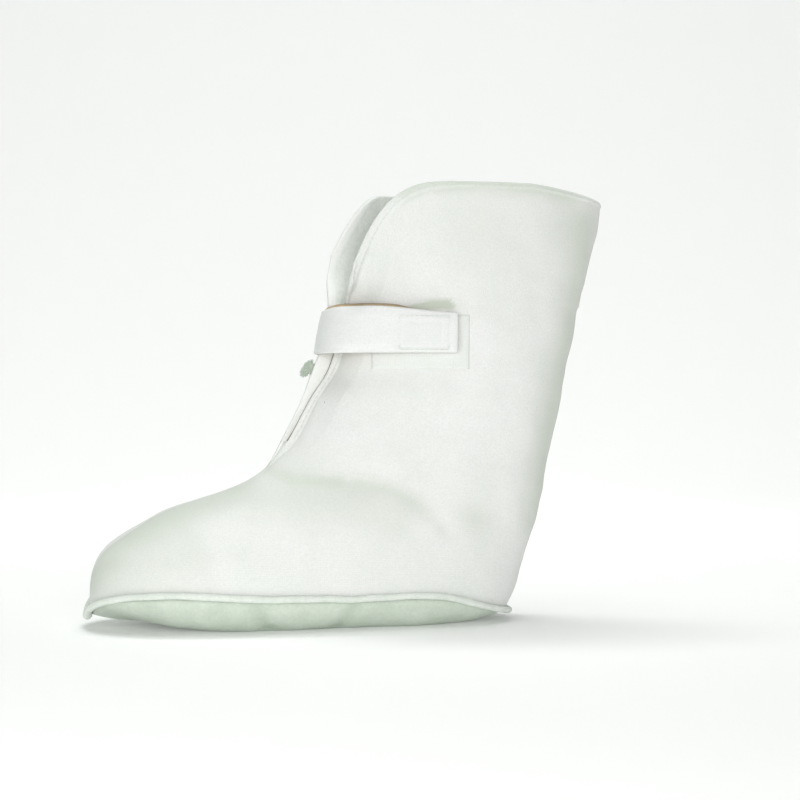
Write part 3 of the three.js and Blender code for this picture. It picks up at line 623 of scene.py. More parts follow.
def seam_line():
    """The line all round where sole and upper meet, and the level direction out of the foot along it."""
    row = both_halves(half_upper(0, -1)[0], half_upper(0, 1)[0])[0]
    flow = direction(np.roll(row, 1, 0), row, np.roll(row, -1, 0))
    flow = unit(flow * [1, 1, 0])
    return row, np.stack([flow[:, 1], -flow[:, 0], np.zeros(len(row))], -1)


SEAM, SEAM_OUT = seam_line()
ORIGIN_Y = (SEAM + SEAM_OUT * (SEAM_GAP + SEAM_WIDTH))[:, 1].max() - seam_high.y * 1000


def to_frame(points):
    """Points in the maker's frame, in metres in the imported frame."""
    return (np.asarray(points, float) - [ORIGIN_X, ORIGIN_Y, 0]) / 1000


def mesh_piece(name, points, groups, materials, slots=(), cloth_map=None, flat=(), triangles=()):
    """A smooth mesh object from points in mm and groups of quads, each group in the material slot that slots
    gives it, with single triangles after them. cloth_map holds a place on the cloth in mm for each point of
    the outer skin, and the inner skin takes the same; a quad on the inner half reads its places on that side.
    flat numbers the quads that are not smooth."""
    faces = np.concatenate(groups)
    mesh = bpy.data.meshes.new(name)
    mesh.from_pydata(to_frame(points).tolist(), [], faces.tolist() + [*triangles])
    for material in materials:
        mesh.materials.append(material)
    soft = np.ones(len(mesh.polygons), bool)
    soft[list(flat)] = False
    mesh.polygons.foreach_set("use_smooth", soft)
    if slots:
        numbers = np.repeat(slots, [len(group) for group in groups])
        numbers = np.concatenate([numbers, np.zeros(len(triangles), int)])
        mesh.polygons.foreach_set("material_index", numbers.astype(np.int32))
    if cloth_map is not None:
        corners = np.concatenate([cloth_map, cloth_map]).reshape(-1, 2)[faces]
        inner_half = corners[..., 0].mean(-1) > VAMP_FLAT
        corners[inner_half, :, 0] = np.abs(corners[inner_half, :, 0])
        layer = mesh.uv_layers.new(name="cloth")
        layer.data.foreach_set("uv", (corners / 1000).reshape(-1).astype(np.float32))
    mesh.update()
    piece = bpy.data.objects.new(name, mesh)
    bpy.context.scene.collection.objects.link(piece)
    return piece


def vertex_attribute(piece, name, *skins):
    """A number for each point of a mesh, skin by skin, for its material to read."""
    attribute = piece.data.attributes.new(name, "FLOAT", "POINT")
    attribute.data.foreach_set("value", np.concatenate(skins).reshape(-1).astype(np.float32))


def build_sole():
    """A soft dish: from the rim under the upper's edge each line rounds down to the flat bottom, by a power
    that goes from the ends to a quarter circle at the sides."""
    s = dict(zip(COLUMNS, SECTIONS[0]))
    flat_halves = []
    for side in (-1, 1):
        half = half_width(s, side) - SOLE_ROUNDING
        path = half_oval(s, FLAT_FRONT, FOOT_LENGTH - FLAT_BACK, VAMP_FLAT, half, FLAT_WIDEST,
                         s["front_round"], s["waist"] * WAIST_DEPTH)[None]
        x, y = np.moveaxis(along(path, columns_of(lengths_of(path)[:, -1], HEM_WIDTH)), -1, 0)
        flat_halves.append(np.stack([x, side * y + toe_swing(x), x * 0], -1))
    flat = both_halves(*flat_halves)[0]
    rim = SEAM - [0, 0, CLEARANCE]
    level = np.linspace(0, 1, SOLE_RINGS + 1)[::-1, None]

    def dish(start, bottom):
        sideways = np.minimum(np.abs(start[:, 1]) / half_width(s, -1), 1)
        power = END_ROUNDING + (2 - END_ROUNDING) * sideways
        rise = 1 - (1 - (1 - level) ** power) ** (1 / power)
        points = start * (1 - level[..., None]) + flat * level[..., None]
        points[..., 2] = bottom + (start[:, 2] - bottom) * rise
        return points

    outer = dish(rim, 0)
    inner = dish(rim - SEAM_OUT * WALL, SOLE_THICKNESS)
    normals = grid_normals(outer, len(outer))
    off_floor = smooth(0, 0.35, 1 - level) * (1 - smooth(0.93, 1, 1 - level))
    relief = ripples(outer, SOLE_WAVES)
    # Painted shade: the sole darkens towards the floor and in its dents
    painted_shade_and_facing = SOLE_PAINTED_SHADE * level + outer[..., 0] * 0
    for side, place, lean, depth, breadth in SOLE_DENTS:
        run = outer[..., 0] - place * FOOT_LENGTH - lean * (outer[..., 2] - DENT_LEVEL)
        in_dent = bell(run, breadth) * (outer[..., 1] * side > 0)
        relief -= depth * in_dent
        painted_shade_and_facing += DENT_PAINTED_SHADE * in_dent
    outer = outer + normals * (relief * off_floor)[..., None]
    outer[..., 2] = np.maximum(outer[..., 2], 0)
    vertices, at, inside = two_skins(outer, inner)
    skin = np.concatenate([grid_faces(at, True), cap(at[0])])
    hidden = np.concatenate([grid_faces(inside, True)[:, ::-1], cap(inside[0])[:, TURNED_OVER]])
    rims = strip(np.append(at[-1], at[-1, 0]), np.append(inside[-1], inside[-1, 0]))
    heel = at.shape[1] // 2
    tips = [at[0, [heel - 1, heel + 1, heel]].tolist(), inside[0, [heel - 1, heel, heel + 1]].tolist()]
    piece = mesh_piece("soft_sole", vertices, (skin, rims, hidden), [sole_felt, wool_pile], slots=(0, 0, 1),
                       triangles=tips)
    vertex_attribute(piece, "painted_shade_and_facing_mask", painted_shade_and_facing, painted_shade_and_facing * 0)
    return piece


def resample(values, lengths, run):
    """Rows of values at places along a line, straight between the places where they are known."""
    return np.stack([np.interp(run, lengths, column) for column in values.T], -1)


def build_seam_roll():
    """The raised seam: a rounded section carried along the seam line, a little fuller and thinner by turns
    where the thread draws it in, wandering softly, with a small knob at the toe and at the heel."""
    loop = np.concatenate([SEAM, SEAM[:1]])
    total = lengths_of(loop)[-1]
    run = np.linspace(0, total, ROLL_STEPS, endpoint=False)
    point = along(loop[None], run[None])[0]
    out = unit(resample(np.concatenate([SEAM_OUT, SEAM_OUT[:1]]), lengths_of(loop), run))
    turn = np.linspace(0, 2 * np.pi, ROLL_SIDES, endpoint=False)
    drawn_in = np.cos(np.pi * run / STITCH_PITCH) ** 8
    toe = bell(np.minimum(run, total - run), 5.0)
    heel = bell(run - total / 2, 4.5)
    size = 1 - 0.03 * drawn_in + ripples(point, ROLL_SIZE_WAVES) + 0.28 * toe + 0.22 * heel
    lift = ripples(point, ROLL_WAVES)
    across = SEAM_GAP + SEAM_WIDTH / 2 * (1 + np.cos(turn) * size[:, None]) - 0.3 * (1 - np.cos(turn))
    high = SEAM_HEIGHT / 2 * np.sin(turn) * size[:, None] + lift[:, None]
    points = point[:, None] + out[:, None] * across[..., None]
    points[..., 2] = point[:, None, 2] + high
    at = np.arange(points[..., 0].size).reshape(points.shape[:2])
    faces = grid_faces(np.concatenate([at, at[:1]]), True)[:, ::-1]
    piece = mesh_piece("seam_roll", points.reshape(-1, 3), [faces], [seam_fleece])
    # Painted shade, a little greyer in the dips where the thread draws the roll in
    vertex_attribute(piece, "painted_shade_and_facing_mask", np.repeat(0.12 * drawn_in, ROLL_SIDES))
    return piece


def place_at(x, z, side):
    """Place between the sections whose row passes through height z at x, found by halving."""
    low = np.full(np.broadcast(x, z).shape, float(SLIT_ROW))
    high = np.full(low.shape, float(COLLAR_ROW))
    for _ in range(30):
        place = (low + high) / 2
        under = level_at(section_at(place), place, x, side) < z
        low = np.where(under, place, low)
        high = np.where(under, high, place)
    return (low + high) / 2


SHAFT_MIDDLE = (SECTIONS[SHAFT_ROW, 0] + SECTIONS[SHAFT_ROW, 2]) * FOOT_LENGTH / 2


def strap_oval(z, side):
    """The strap's inner face at a height, seen from above: a blunt oval that stands off before the slit."""
    s = section_at(place_at(SHAFT_MIDDLE, z, side))
    under_strap = 3 * CLEARANCE + 2 * TAPE_THICKNESS if side < 0 else CLEARANCE
    half = half_width(s, side) + under_strap
    return half_oval(s, s["front_x"] * FOOT_LENGTH - STRAP_STAND_OFF, s["back_x"] * FOOT_LENGTH, z * 0, half,
                     s["widest"] + STRAP_STAND_OFF / FOOT_LENGTH, z * 0 + STRAP_ROUND, z * 0)


STRAP_FRONT = strap_oval(np.array([STRAP_BOTTOM]), -1)[0, 0, 0]
STRAP_FREE_END = STRAP_FRONT + STRAP_FREE_REACH
STRAP_ROOT = STRAP_FRONT + STRAP_ROOT_REACH


def shaft_oval(place, side):
    """The oval of one side of the shaft at places between the sections, with no lip."""
    s = section_at(place)
    half = half_width(s, side)
    return half_oval(s, s["front_x"] * FOOT_LENGTH + s["lip"] * HEM_WIDTH, s["back_x"] * FOOT_LENGTH,
                     WALL + SLIT_GAP / 2 + s["open"] * HALF_OPENING, half, s["widest"], s["front_round"],
                     half * 0)


def crossing(path, x, distance):
    """Where each path crosses x, moved out by a distance square to the path."""
    i = np.clip((path[..., 0] < x[..., None]).sum(-1), 1, path.shape[-2] - 1)[..., None, None]
    before = np.take_along_axis(path, i - 1, -2)[..., 0, :]
    after = np.take_along_axis(path, i, -2)[..., 0, :]
    step = after - before
    t = ((x - before[..., 0]) / step[..., 0])[..., None]
    across = np.stack([-step[..., 1], step[..., 0]], -1) / np.linalg.norm(step, axis=-1, keepdims=True)
    return before + step * t + across * np.asarray(distance)[..., None]


def outline_distance(x, z, box):
    """Distance from the outline of a rectangle (x from, x to, z from, z to)."""
    dx = np.maximum(box[0] - x, x - box[1])
    dz = np.maximum(box[2] - z, z - box[3])
    outside = np.hypot(np.maximum(dx, 0), np.maximum(dz, 0))
    return np.where((dx > 0) | (dz > 0), outside, np.minimum(-dx, -dz))


LOOP_FRONT = STRAP_FREE_END + LOOP_TAPE["past_end"] - LOOP_TAPE["length"]
# Boxes sewn on the strap: x from and to, z from and to
STRAP_BOX = (STRAP_FREE_END - 39.5, STRAP_FREE_END - 6.5, STRAP_BOTTOM + 2.2, STRAP_BOTTOM + 25.0)
STRAP_INNER_BOX = (STRAP_FREE_END - 36.0, STRAP_FREE_END - 12.5, STRAP_BOTTOM + 6.0, STRAP_BOTTOM + 20.5)


def strap_half(share, side, end_x):
    """Half of the strap's inner face: rows up its height and columns from the front to end_x, with the
    direction out of it and the distances of each point from that end and from the nearer long edge."""
    path = strap_oval(STRAP_BOTTOM + STRAP_HEIGHT * share, side)
    lengths = lengths_of(path)
    ends = np.array([np.interp(end_x, xy[:, 0], run) for xy, run in zip(path, lengths)])
    spread = np.sin(np.linspace(0, np.pi / 2, STRAP_COLUMNS))
    distances = ends[:, None] * spread
    xy = along(path, distances)
    flow = np.gradient(xy, axis=1)
    out = unit(np.stack([-flow[..., 1], flow[..., 0]], -1))
    out[:, 0] = [-1, 0]
    lower = smooth(STRAP_FREE_END - STRAP_TAPER, STRAP_FREE_END, xy[..., 0]) if side < 0 else xy[..., 0] * 0
    height = STRAP_HEIGHT - (STRAP_HEIGHT - STRAP_END_HEIGHT) * lower
    z = STRAP_BOTTOM + height * share[:, None]
    points = np.stack([xy[..., 0], side * xy[..., 1], z], -1)
    out = np.stack([out[..., 0], side * out[..., 1], z * 0], -1)
    return points, out, ends[:, None] - distances, np.minimum(share[:, None], 1 - share[:, None]) * height


def build_strap():
    """The ankle strap: a band from its sewn root round the front of the shaft to its free end, with turned
    edges, sewn boxes and a thin suede back that shows along its top edge in front."""
    share = (1 - np.cos(np.linspace(0, np.pi, STRAP_ROWS))) / 2
    free = strap_half(share, -1, STRAP_FREE_END)
    root = strap_half(share, 1, STRAP_ROOT)
    points, out, to_end, to_side = (
        np.concatenate([b[:, ::-1], a[:, 1:]], 1) for a, b in zip(free, root))
    edge = np.minimum(to_end, to_side)
    x, y, z = np.moveaxis(points, -1, 0)
    outer_side = y < 0
    sewn = np.minimum(outline_distance(x, z, STRAP_BOX), outline_distance(x, z, STRAP_INNER_BOX))
    furrow = bell(sewn, 1.1) * outer_side
    crown = 0.5 * smooth(0, 12, edge)
    relief = crown - 0.28 * furrow + ripples(points, STRAP_WAVES) * smooth(0, 5, edge)
    relief -= 0.25 * bell(to_side - 3.2, 0.9) * smooth(2, 5, to_end)
    # Beside the slit the long edges curl in, less over the loop tape, where there is less room
    over_tape = smooth(LOOP_FRONT - 12, LOOP_FRONT, x) * outer_side
    beside_slit = smooth(STRAP_FRONT + 8, STRAP_FRONT + 22, x)
    room = np.where(outer_side, 3.0 * (1 - over_tape) + 1.2 * over_tape, 0.0) * beside_slit
    curl = room * (1 - smooth(0, 8, to_side)) ** 2
    fall = rounded(edge, STRAP_EDGE)
    outer = points + out * (STRAP_THICKNESS + relief - curl - 1.9 * fall)[..., None]
    inner = points + out * (0.5 * fall - curl)[..., None]
    outer[..., 2] -= 2.2 * smooth(0.82, 1, share)[:, None] * bell(x - STRAP_FRONT, 7)
    shows = smooth(STRAP_FRONT + 3, STRAP_FRONT + 12, x[-1])
    shows *= 1 - smooth(STRAP_FRONT + 44, STRAP_FRONT + 62, x[-1])
    inner[-1, :, 2] += 1.7 * shows * outer_side[-1]
    vertices, at, inside = two_skins(outer, inner)
    run = lengths_of(points)
    run -= run[:, [STRAP_COLUMNS - 1]]
    piece = mesh_piece("ankle_strap", vertices, slab_faces(at, inside), [strap_fleece, suede_back],
                       slots=(0, 0, 1, 1), cloth_map=np.stack([run, z], -1))
    # Painted shade in the furrows of the sewn boxes and over the inner box
    x0, x1, z0, z1 = STRAP_INNER_BOX
    inside_panel = outer_side * np.minimum(np.minimum(x - x0, x1 - x), np.minimum(z - z0, z1 - z))
    painted_shade_and_facing_mask = np.maximum(0.2 * furrow, 0.22 * smooth(-0.8, 1.2, inside_panel))
    vertex_attribute(piece, "painted_shade_and_facing_mask", painted_shade_and_facing_mask, painted_shade_and_facing_mask * 0)
    return piece


def build_tape(name, tape, path_at, near, far, edge_round, material):
    """A piece of tape on the outer side: a thin slab over two heights and two places along the foot, which
    lies on the oval that path_at gives for its points, with its edges rounded down."""
    height, length = tape["height"], tape["length"]
    up = np.linspace(0, 1, TAPE_GRID[0])[:, None]
    across = np.linspace(0, 1, TAPE_GRID[1])[None]
    z = STRAP_BOTTOM + tape["above_strap"] + height * up + across * 0
    x = STRAP_FREE_END + tape["past_end"] - length * (1 - across) + up * 0
    path = path_at(x, z)
    edge = np.minimum(np.minimum(up, 1 - up) * height, np.minimum(across, 1 - across) * length)
    fall = (far - near) * 0.9 * rounded(edge, edge_round)
    outer, inner = (crossing(path, x, distance) for distance in (far - fall, near + 0 * edge))
    outer, inner = (np.stack([xy[..., 0], -xy[..., 1], z], -1) for xy in (outer, inner))
    vertices, at, inside = two_skins(outer, inner)
    return mesh_piece(name, vertices, slab_faces(at, inside), [material], cloth_map=np.stack([x, z], -1))


def tubes(name, spine, one, two, thick, sides, material):
    """Many thin round tubes as one piece: a ring of points round each point of their spines, at the distance
    thick in the plane of the directions one and two, with both ends closed. The number of sides is even."""
    turn = np.linspace(0, 2 * np.pi, sides, endpoint=False)
    ring = one[:, :, None] * np.cos(turn)[:, None] + two[:, :, None] * np.sin(turn)[:, None]
    points = spine[:, :, None] + ring * thick[..., None, None]
    at = np.arange(points[..., 0].size).reshape(points.shape[:3])
    wrapped = np.concatenate([at, at[..., :1]], -1)
    walls = np.stack([wrapped[:, :-1, :-1], wrapped[:, :-1, 1:], wrapped[:, 1:, 1:], wrapped[:, 1:, :-1]], -1)
    groups = (walls.reshape(-1, 4), cap(at[:, 0]), cap(at[:, -1])[:, TURNED_OVER])
    return mesh_piece(name, points.reshape(-1, 3), groups, [material])


def build_tuft():
    """A tuft of loose wool at the slit: locks that leave its middle in all directions, each a tapering round
    section carried along a short curve."""
    rng = np.random.default_rng(7)
    z = STRAP_BOTTOM - TUFT["below_strap"]
    s = section_at(place_at(SHAFT_MIDDLE, np.array(z - TUFT["height"] / 4), 1))
    edge_x = float(s["front_x"] * FOOT_LENGTH - s["lead"] * INNER_LEAD)
    size = np.array([TUFT["length"], TUFT["width"], TUFT["height"]]) / 2
    middle = np.array([edge_x - CLEARANCE - size[0], TUFT["y"], z])
    heading = unit(rng.normal(size=(LOCKS, 3)))
    bend = unit(np.cross(heading, rng.normal(size=(LOCKS, 3))))
    t = np.linspace(0, 1, LOCK_RINGS)
    reach = rng.uniform(0.75, 1.12, (LOCKS, 1))
    curl = rng.uniform(0.1, 0.5, (LOCKS, 1))
    spine = heading[:, None] * (t * reach)[..., None]
    spine = spine + bend[:, None] * (curl * np.sin(t * 2.6))[..., None] * 0.6
    spine = spine * size * TUFT_SPREAD
    spine[..., 0] += TUFT_LEAN * spine[..., 2]
    spine = middle + TUFT_SHIFT + spine
    flow = unit(np.gradient(spine, axis=1))
    one = unit(np.cross(flow, bend[:, None] + 0.01))
    thick = rng.uniform(0.35, 0.7, (LOCKS, 1)) * (1 - 0.85 * t ** 2)
    return tubes("wool_tuft", spine, one, np.cross(flow, one), thick, LOCK_SIDES, tuft_wool)


def build_stitches(name, lines, length, gap, thickness, material):
    """Threads along lines of (points, normals): each stitch is a round section carried over a low arch, whose
    ends dip into the cloth."""
    t = np.linspace(-0.5, 0.5, STITCH_RINGS)
    arch = thickness * (0.75 * np.cos(np.pi * t) - 0.25)
    parts = []
    for line, normals in lines:
        run = lengths_of(line)
        count = max(int(run[-1] // (length + gap)), 1)
        middle = (np.arange(count) + 0.5) * run[-1] / count
        places = (middle[:, None] + t * length).reshape(-1)
        spine, up = (resample(v, run, places).reshape(count, STITCH_RINGS, 3) for v in (line, normals))
        up = unit(up)
        beside = np.cross(unit(np.gradient(spine, axis=1)), up)
        parts.append((spine + up * arch[:, None], beside, up))
    spine, beside, up = (np.concatenate(part) for part in zip(*parts))
    thick = thickness / 2 * (1 - 0.35 * (2 * t) ** 4)
    return tubes(name, spine, beside, up, thick, STITCH_SIDES, material)


def hem_lines(points, normals, slit_at, below_collar, band):
    """The lines of the hem's stitches on the upper: up both edges of the slit at a constant share of the hem,
    and along the collar at a constant depth below it."""
    width = points.shape[1]
    upright = slice(slit_at + 1, len(points) - STITCH_FREE_ROWS)
    lines = [(points[upright, c], normals[upright, c]) for c in (STITCH_COLUMN, width - 1 - STITCH_COLUMN)]
    wanted = band - STITCH_INSET
    columns = np.arange(len(HEM_SHARES), width - len(HEM_SHARES))
    on_line = np.array([[np.interp(-wanted[c], -below_collar[:, c], points[:, c, k]) for k in range(3)]
                        for c in columns])
    return lines + [(on_line, normals[-6, columns])]


def strap_line(x, z):
    """Points and normals on the strap's outer face at places along the foot and heights."""
    path = strap_oval(z, -1)
    near, far = (crossing(path, x, STRAP_THICKNESS + rise + x * 0) for rise in (-0.25, 0.75))
    return (np.stack([near[:, 0], -near[:, 1], z], -1),
            np.stack([(far - near)[:, 0], -(far - near)[:, 1], z * 0], -1))


def box_lines(box, steps=60):
    """The four sides of a rectangle sewn on the strap."""
    x0, x1, z0, z1 = box
    along_x, along_z = np.linspace(x0, x1, steps), np.linspace(z0, z1, steps)
    level = np.ones(steps)
    return [strap_line(along_x, z0 * level), strap_line(along_x, z1 * level),
            strap_line(x0 * level, along_z), strap_line(x1 * level, along_z)]


def colour(code):
    """An sRGB hex colour as the linear colour that a shader takes."""
    srgb = np.array([int(code[i:i + 2], 16) for i in (1, 3, 5)]) / 255
    linear = np.where(srgb <= 0.04045, srgb / 12.92, ((srgb + 0.055) / 1.055) ** 2.4)
    return (*linear.tolist(), 1.0)


def add(tree, kind, inputs=None, **settings):
    """Adds a shader node with its settings. An input that is a node's socket is linked, any other is set."""
    node = tree.nodes.new("ShaderNode" + kind)
    for name, value in settings.items():
        setattr(node, name, value)
    for name, value in (inputs or {}).items():
        if isinstance(value, bpy.types.NodeSocket):
            tree.links.new(value, node.inputs[name])
        else:
            node.inputs[name].default_value = value
    return node


def cloth(name, light, shade, painted_shade_and_facing, thread, nap, relief, patches=0.035, strength=0.6, sheen=0.15, weave=0.0,
          painted_shade_and_facing_where="painted_shade_and_facing_mask", flecks=0.0):
    """A napped or woven cloth. light and shade are its two colours, mixed in soft patches of the size patches
    in metres. The colour after them is painted shade for its hollows, creases, dents and edges turned from
    the lamps; on the pile it is the colour of its face turned in. It is brought in by the attribute that the
    argument before flecks names. thread is the spacing of its threads and nap the size of its pile's clumps,
    both in mm, relief is how deep both are in mm, and weave is how much of it the threads make: 0 for a piece
    without a cloth map. flecks is how much darker its few specks of bark and seed are."""
    material = bpy.data.materials.new(name)
    material.use_nodes = True
    tree = material.node_tree
    tree.nodes.clear()
    place = add(tree, "TexCoord").outputs
    soft, fluff = (
        add(tree, "TexNoise", {"Vector": place["Object"], "Scale": scale, "Detail": detail,
                               "Roughness": roughness}).outputs["Fac"]
        for scale, detail, roughness in ((1 / patches, 3.0, 0.55), (1000 / nap, 4.0, 0.65)))
    # A wave texture's bands repeat every 0.314 over its scale
    bands = 0.314 * 1000 / thread
    warp, weft = (
        add(tree, "TexWave", {"Vector": place["UV"], "Scale": scale, "Distortion": distortion, "Detail": 2.0,
                              "Detail Scale": 0.6}, bands_direction=axis).outputs["Fac"]
        for scale, distortion, axis in ((bands, 1.6, "X"), (bands * 0.9, 1.9, "Y")))
    threads = add(tree, "Math", {0: warp, 1: weft}, operation="MULTIPLY").outputs[0]
    height = add(tree, "Math", {0: threads, 1: weave, 2: fluff}, operation="MULTIPLY_ADD").outputs[0]
    patchy = add(tree, "MapRange", {"Value": soft, "From Min": 0.35, "From Max": 0.68})
    base = add(tree, "Mix", {"Factor": patchy.outputs[0], "A": colour(light), "B": colour(shade)},
               data_type="RGBA")
    grain = add(tree, "MapRange", {"Value": height, "From Min": 0.35, "From Max": 0.85, "To Min": 0.90,
                                   "To Max": 1.03})
    grained = add(tree, "VectorMath", {0: base.outputs["Result"], "Scale": grain.outputs[0]},
                  operation="SCALE")
    # The share of painted shade, and on the pile of its turned-in face
    painted_shade_and_facing_mask = add(tree, "Attribute", attribute_name=painted_shade_and_facing_where)
    hollow = add(tree, "Mix", {"Factor": painted_shade_and_facing_mask.outputs["Fac"], "A": grained.outputs[0], "B": colour(painted_shade_and_facing)},
                 data_type="RGBA")
    # Specks of about 1 mm in less than half of the cells of 30 mm
    spots = add(tree, "TexVoronoi", {"Vector": place["Object"], "Scale": 34.0})
    chance = add(tree, "SeparateColor", {"Color": spots.outputs["Color"]})
    few = add(tree, "Math", {0: chance.outputs[0], 1: 0.45}, operation="LESS_THAN")
    speck = add(tree, "MapRange", {"Value": spots.outputs["Distance"], "From Min": 0.012, "From Max": 0.022,
                                   "To Min": flecks, "To Max": 0.0})
    flecked = add(tree, "Math", {0: few.outputs[0], 1: speck.outputs[0]}, operation="MULTIPLY")
    specked = add(tree, "Mix", {"Factor": flecked.outputs[0], "A": hollow.outputs["Result"],
                                "B": colour("#6B675A")}, data_type="RGBA")
    bump = add(tree, "Bump", {"Height": height, "Strength": strength, "Distance": relief / 1000})
    shader = add(tree, "BsdfPrincipled", {
        "Base Color": specked.outputs["Result"], "Roughness": 0.95, "Sheen Weight": sheen,
        "Sheen Roughness": 0.6, "Specular IOR Level": 0.15, "Normal": bump.outputs[0]})
    add(tree, "OutputMaterial", {"Surface": shader.outputs[0]})
    return material


# Brushed wool fleece, sheared short: a matte white face whose weave just shows through the nap. Its threads
# are really about 0.8 mm apart, too fine for the picture, and are drawn 1.5 mm apart
# Its third colour is painted shade, laid under the folds, along the edges, at the toe and the collar
fleece_face = cloth("sheared_wool_fleece", "#EAEBE9", "#E4E7E3", "#BBC5B3", thread=1.5, nap=1.3, relief=0.3,
                    patches=0.05, weave=0.16, flecks=0.7)
# The pile side of the same shearling: clumps of wool 2 to 3 mm wide that hold more shade, with the face
# turned in round the slit and the collar
wool_pile = cloth("shearling_pile", "#F4F7F2", "#EDF2EB", "#F2F4F1", thread=2.6, nap=2.4, relief=0.8,
                  strength=0.8, weave=0.08, painted_shade_and_facing_where="turned_in")
# Cut edge of the shearling at the slit: the tanned skin between face and pile, a dull brown line with a
# grain of about 1 mm. Its brown is the tan of the suede darkened by painted shade, for the slit's crevice
cut_skin_in_painted_shade = cloth("cut_shearling_edge_in_painted_shade", "#7C7450", "#6A6444", "#5C563A", thread=2.0, nap=0.9, relief=0.2,
                 patches=0.008)
# Felted wool of the sole: coarse, fuzzy and greyer, in soft clumps of about 2 mm
# Its third colour is painted shade, towards the floor and in the dents
sole_felt = cloth("felted_wool_sole", "#D6DFD3", "#C8D3C5", "#93A692", thread=3.2, nap=1.9, relief=0.7,
                  patches=0.022, strength=0.8)
# A roll of the fleece, sewn over: the nap is pressed along it, with painted shade a little greyer where the
# thread draws it in
seam_fleece = cloth("fleece_seam_roll", "#E7ECE5", "#DDE5DC", "#C2CCC0", thread=2.2, nap=1.2, relief=0.4,
                    patches=0.012)
# The strap's fleece, doubled and pressed flat: smoother than the upper's, with the same threads
# Its third colour is painted shade in the furrows of the sewn boxes and over the inner box
strap_fleece = cloth("pressed_wool_fleece", "#EBECEB", "#E7E9E7", "#D2D8D0", thread=1.5, nap=1.2, relief=0.2,
                     weave=0.1)
# Woven tape with brushed loops: an even, slightly denser white. The loops are really about 0.3 mm, too fine
# for the picture, and are drawn 0.9 mm wide
loop_cloth = cloth("brushed_loop_tape", "#E8EBE8", "#E2E7E1", "#D0D7CF", thread=1.1, nap=0.9, relief=0.25,
                   patches=0.02, weave=0.16)
# Stiffer woven tape that carries the nylon hooks in rows 1.6 mm apart, without any fuzz
hook_cloth = cloth("nylon_hook_tape", "#D8DCD7", "#CFD5CE", "#C2C9C0", thread=1.6, nap=0.7, relief=0.3,
                   patches=0.02, sheen=0.0, weave=0.3)
# Loose combed wool: soft grey-green shade between its locks. Its fibres are too fine for the picture, and
# are drawn as locks about 1 mm thick with a nap of 0.8 mm
tuft_wool = cloth("loose_wool", "#D6E0D4", "#C2D0C2", "#A9B8A8", thread=1.0, nap=0.8, relief=0.1,
                  patches=0.006)
# Tanned skin side of the strap's shearling, seen as a thin warm line along its edge. Its nap is really about
# 0.2 mm, too fine for the picture, and is drawn as 0.8 mm
suede_back = cloth("tanned_suede", "#C2A676", "#AD8F60", "#997B4C", thread=2.0, nap=0.8, relief=0.15,
                   patches=0.008, sheen=0.3)
# Waxed polyester thread, 0.5 mm thick and a shade cooler than the cloth
thread_white = cloth("polyester_thread", "#DDE2DD", "#D6DBD6", "#CDD3CD", thread=0.5, nap=0.4, relief=0.05,
                     patches=0.01, sheen=0.05)


def lit_paper(name, code, glow):
    """The floor: matte white paper on a light table, which glows a little."""
    material = bpy.data.materials.new(name)
    material.use_nodes = True
    shader = material.node_tree.nodes["Principled BSDF"]
    for socket, value in (("Base Color", colour(code)), ("Roughness", 0.9), ("Specular IOR Level", 0.1),
                          ("Emission Color", (1.0, 1.0, 1.0, 1.0)), ("Emission Strength", glow)):
        shader.inputs[socket].default_value = value
    return material


def build_room():
    """A round pale floor that curves up all round into a wall: a profile of a flat, a quarter circle and an
    upright, turned about the vertical axis."""
    turn = np.linspace(0, 2 * np.pi, 96, endpoint=False)
    bend = np.linspace(0, np.pi / 2, 24)
    radius = np.concatenate([[0.02, 0.5, 1.0], ROOM_RADIUS + ROOM_BEND * (np.sin(bend) - 1), [ROOM_RADIUS]])
    height = np.concatenate([[0, 0, 0], ROOM_BEND * (1 - np.cos(bend)), [ROOM_HEIGHT]])
    x, y = radius[:, None] * np.cos(turn), radius[:, None] * np.sin(turn)
    points = np.stack([x, y, np.broadcast_to(height[:, None], x.shape)], -1) * 1000 + [ORIGIN_X, ORIGIN_Y, 0]
    at = np.arange(x.size).reshape(x.shape)
    groups = (grid_faces(at, True)[:, ::-1], cap(at[0])[:, TURNED_OVER])
    room = mesh_piece("floor_sweep", points.reshape(-1, 3), groups,
                      [lit_paper("matte_white_paper", "#F4F5F4", FLOOR_GLOW)])


def aim(thing, target):
    """Turns a light or a camera so that it looks at a point."""
    look = Vector(target) - thing.location
    thing.rotation_euler = look.to_track_quat("-Z", "Y").to_euler()


def add_light(name, place, target, size, power, tint="#FFFFFF"):
    """A square soft light in metres and watts."""
    light = bpy.data.lights.new(name, "AREA")
    light.shape = "SQUARE"
    light.size = size
    light.energy = power
    light.color = colour(tint)[:3]
    holder = bpy.data.objects.new(name, light)
    bpy.context.scene.collection.objects.link(holder)
    holder.location = place
    holder.visible_camera = False
    aim(holder, target)


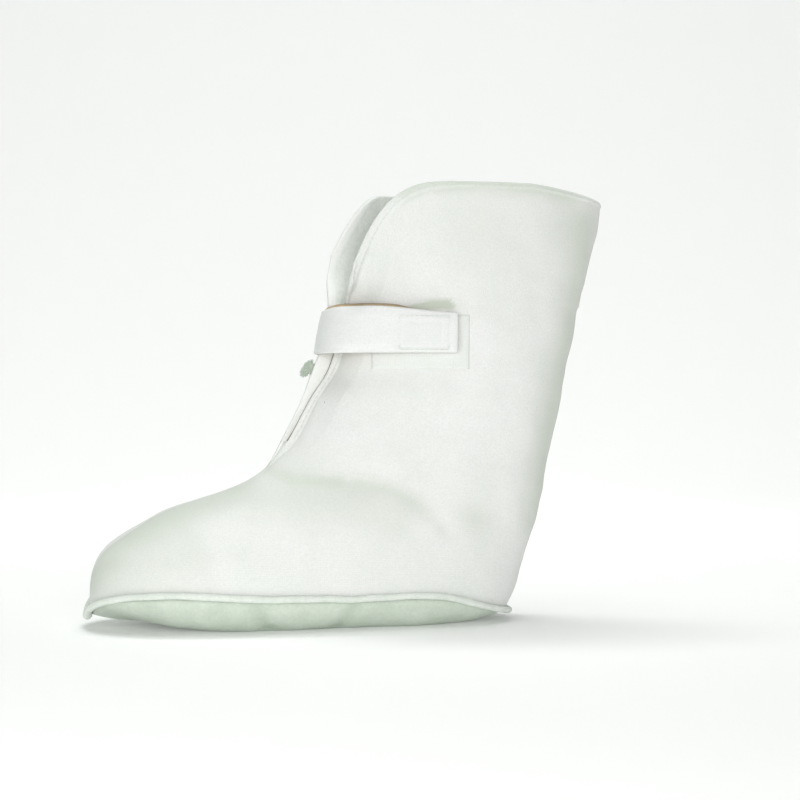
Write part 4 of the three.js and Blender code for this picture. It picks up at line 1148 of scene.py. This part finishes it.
def add_camera():
    """The photograph's view: level, at half the boot's height, looking across the outer side from a little to
    the front of it."""
    camera = bpy.data.cameras.new("camera")
    camera.sensor_width = 36.0
    camera.lens = CAMERA_LENS
    camera.clip_start = 0.02
    holder = bpy.data.objects.new("camera", camera)
    bpy.context.scene.collection.objects.link(holder)
    holder.location = CAMERA_PLACE
    aim(holder, Vector(CAMERA_PLACE) + Vector(CAMERA_LOOK))
    bpy.context.scene.camera = holder


add_camera()
build_room()
add_light("key", (0.02, -1.25, 0.20), (0.03, 0.0, 0.13), 0.35, 4.35, "#FFFAFD")
add_light("side", (-0.45, -0.80, 0.20), (0.03, 0.0, 0.13), 0.55, 2.5, "#FDFFFD")
add_light("top", (0.0, 0.0, 2.2), (0.0, 0.0, 0.0), 1.6, 22.0, "#F8FCF8")
add_light("wall", (0.0, 0.6, 2.3), (0.9, 3.4, 0.3), 1.2, 38.0)
world = bpy.data.worlds.new("studio")
bpy.context.scene.world = world
world.use_nodes = True
world.node_tree.nodes["Background"].inputs["Color"].default_value = (1.0, 1.0, 1.0, 1.0)
world.node_tree.nodes["Background"].inputs["Strength"].default_value = 0.02
bpy.context.scene.view_settings.view_transform = "Standard"

upper, hem_stitches = build_upper()
sole = build_sole()
seam_roll = build_seam_roll()
strap = build_strap()
loop_tape = build_tape("loop_tape", LOOP_TAPE, lambda x, z: shaft_oval(place_at(x, z, -1), -1), TAPE_REST,
                       TAPE_LIFT + TAPE_THICKNESS / 4, 3.0, loop_cloth)
hook_tape = build_tape("hook_tape", HOOK_TAPE,
                       lambda x, z: np.broadcast_to(strap_oval(z[:, 0], -1)[:, None],
                                                    x.shape + (2 * OVAL_STEPS + 1, 2)),
                       -CLEARANCE - TAPE_THICKNESS, -CLEARANCE, 1.2, hook_cloth)
tuft = build_tuft()
strap_thread = build_stitches("strap_stitching", box_lines(STRAP_BOX), 2.4, 0.8, 0.45, thread_white)
hem_thread = build_stitches("hem_stitching", hem_stitches, 2.8, 1.0, 0.5, thread_white)

for piece, node in ((upper, "upper"), (sole, "sole"), (seam_roll, "sole_seam"), (strap, "strap"),
                    (loop_tape, "loop_patch"), (hook_tape, "hook_patch"), (tuft, "pile_tuft")):
    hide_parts(node)
for piece in (upper, sole, seam_roll, strap, loop_tape, hook_tape, tuft, strap_thread, hem_thread):
    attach(piece, "root")
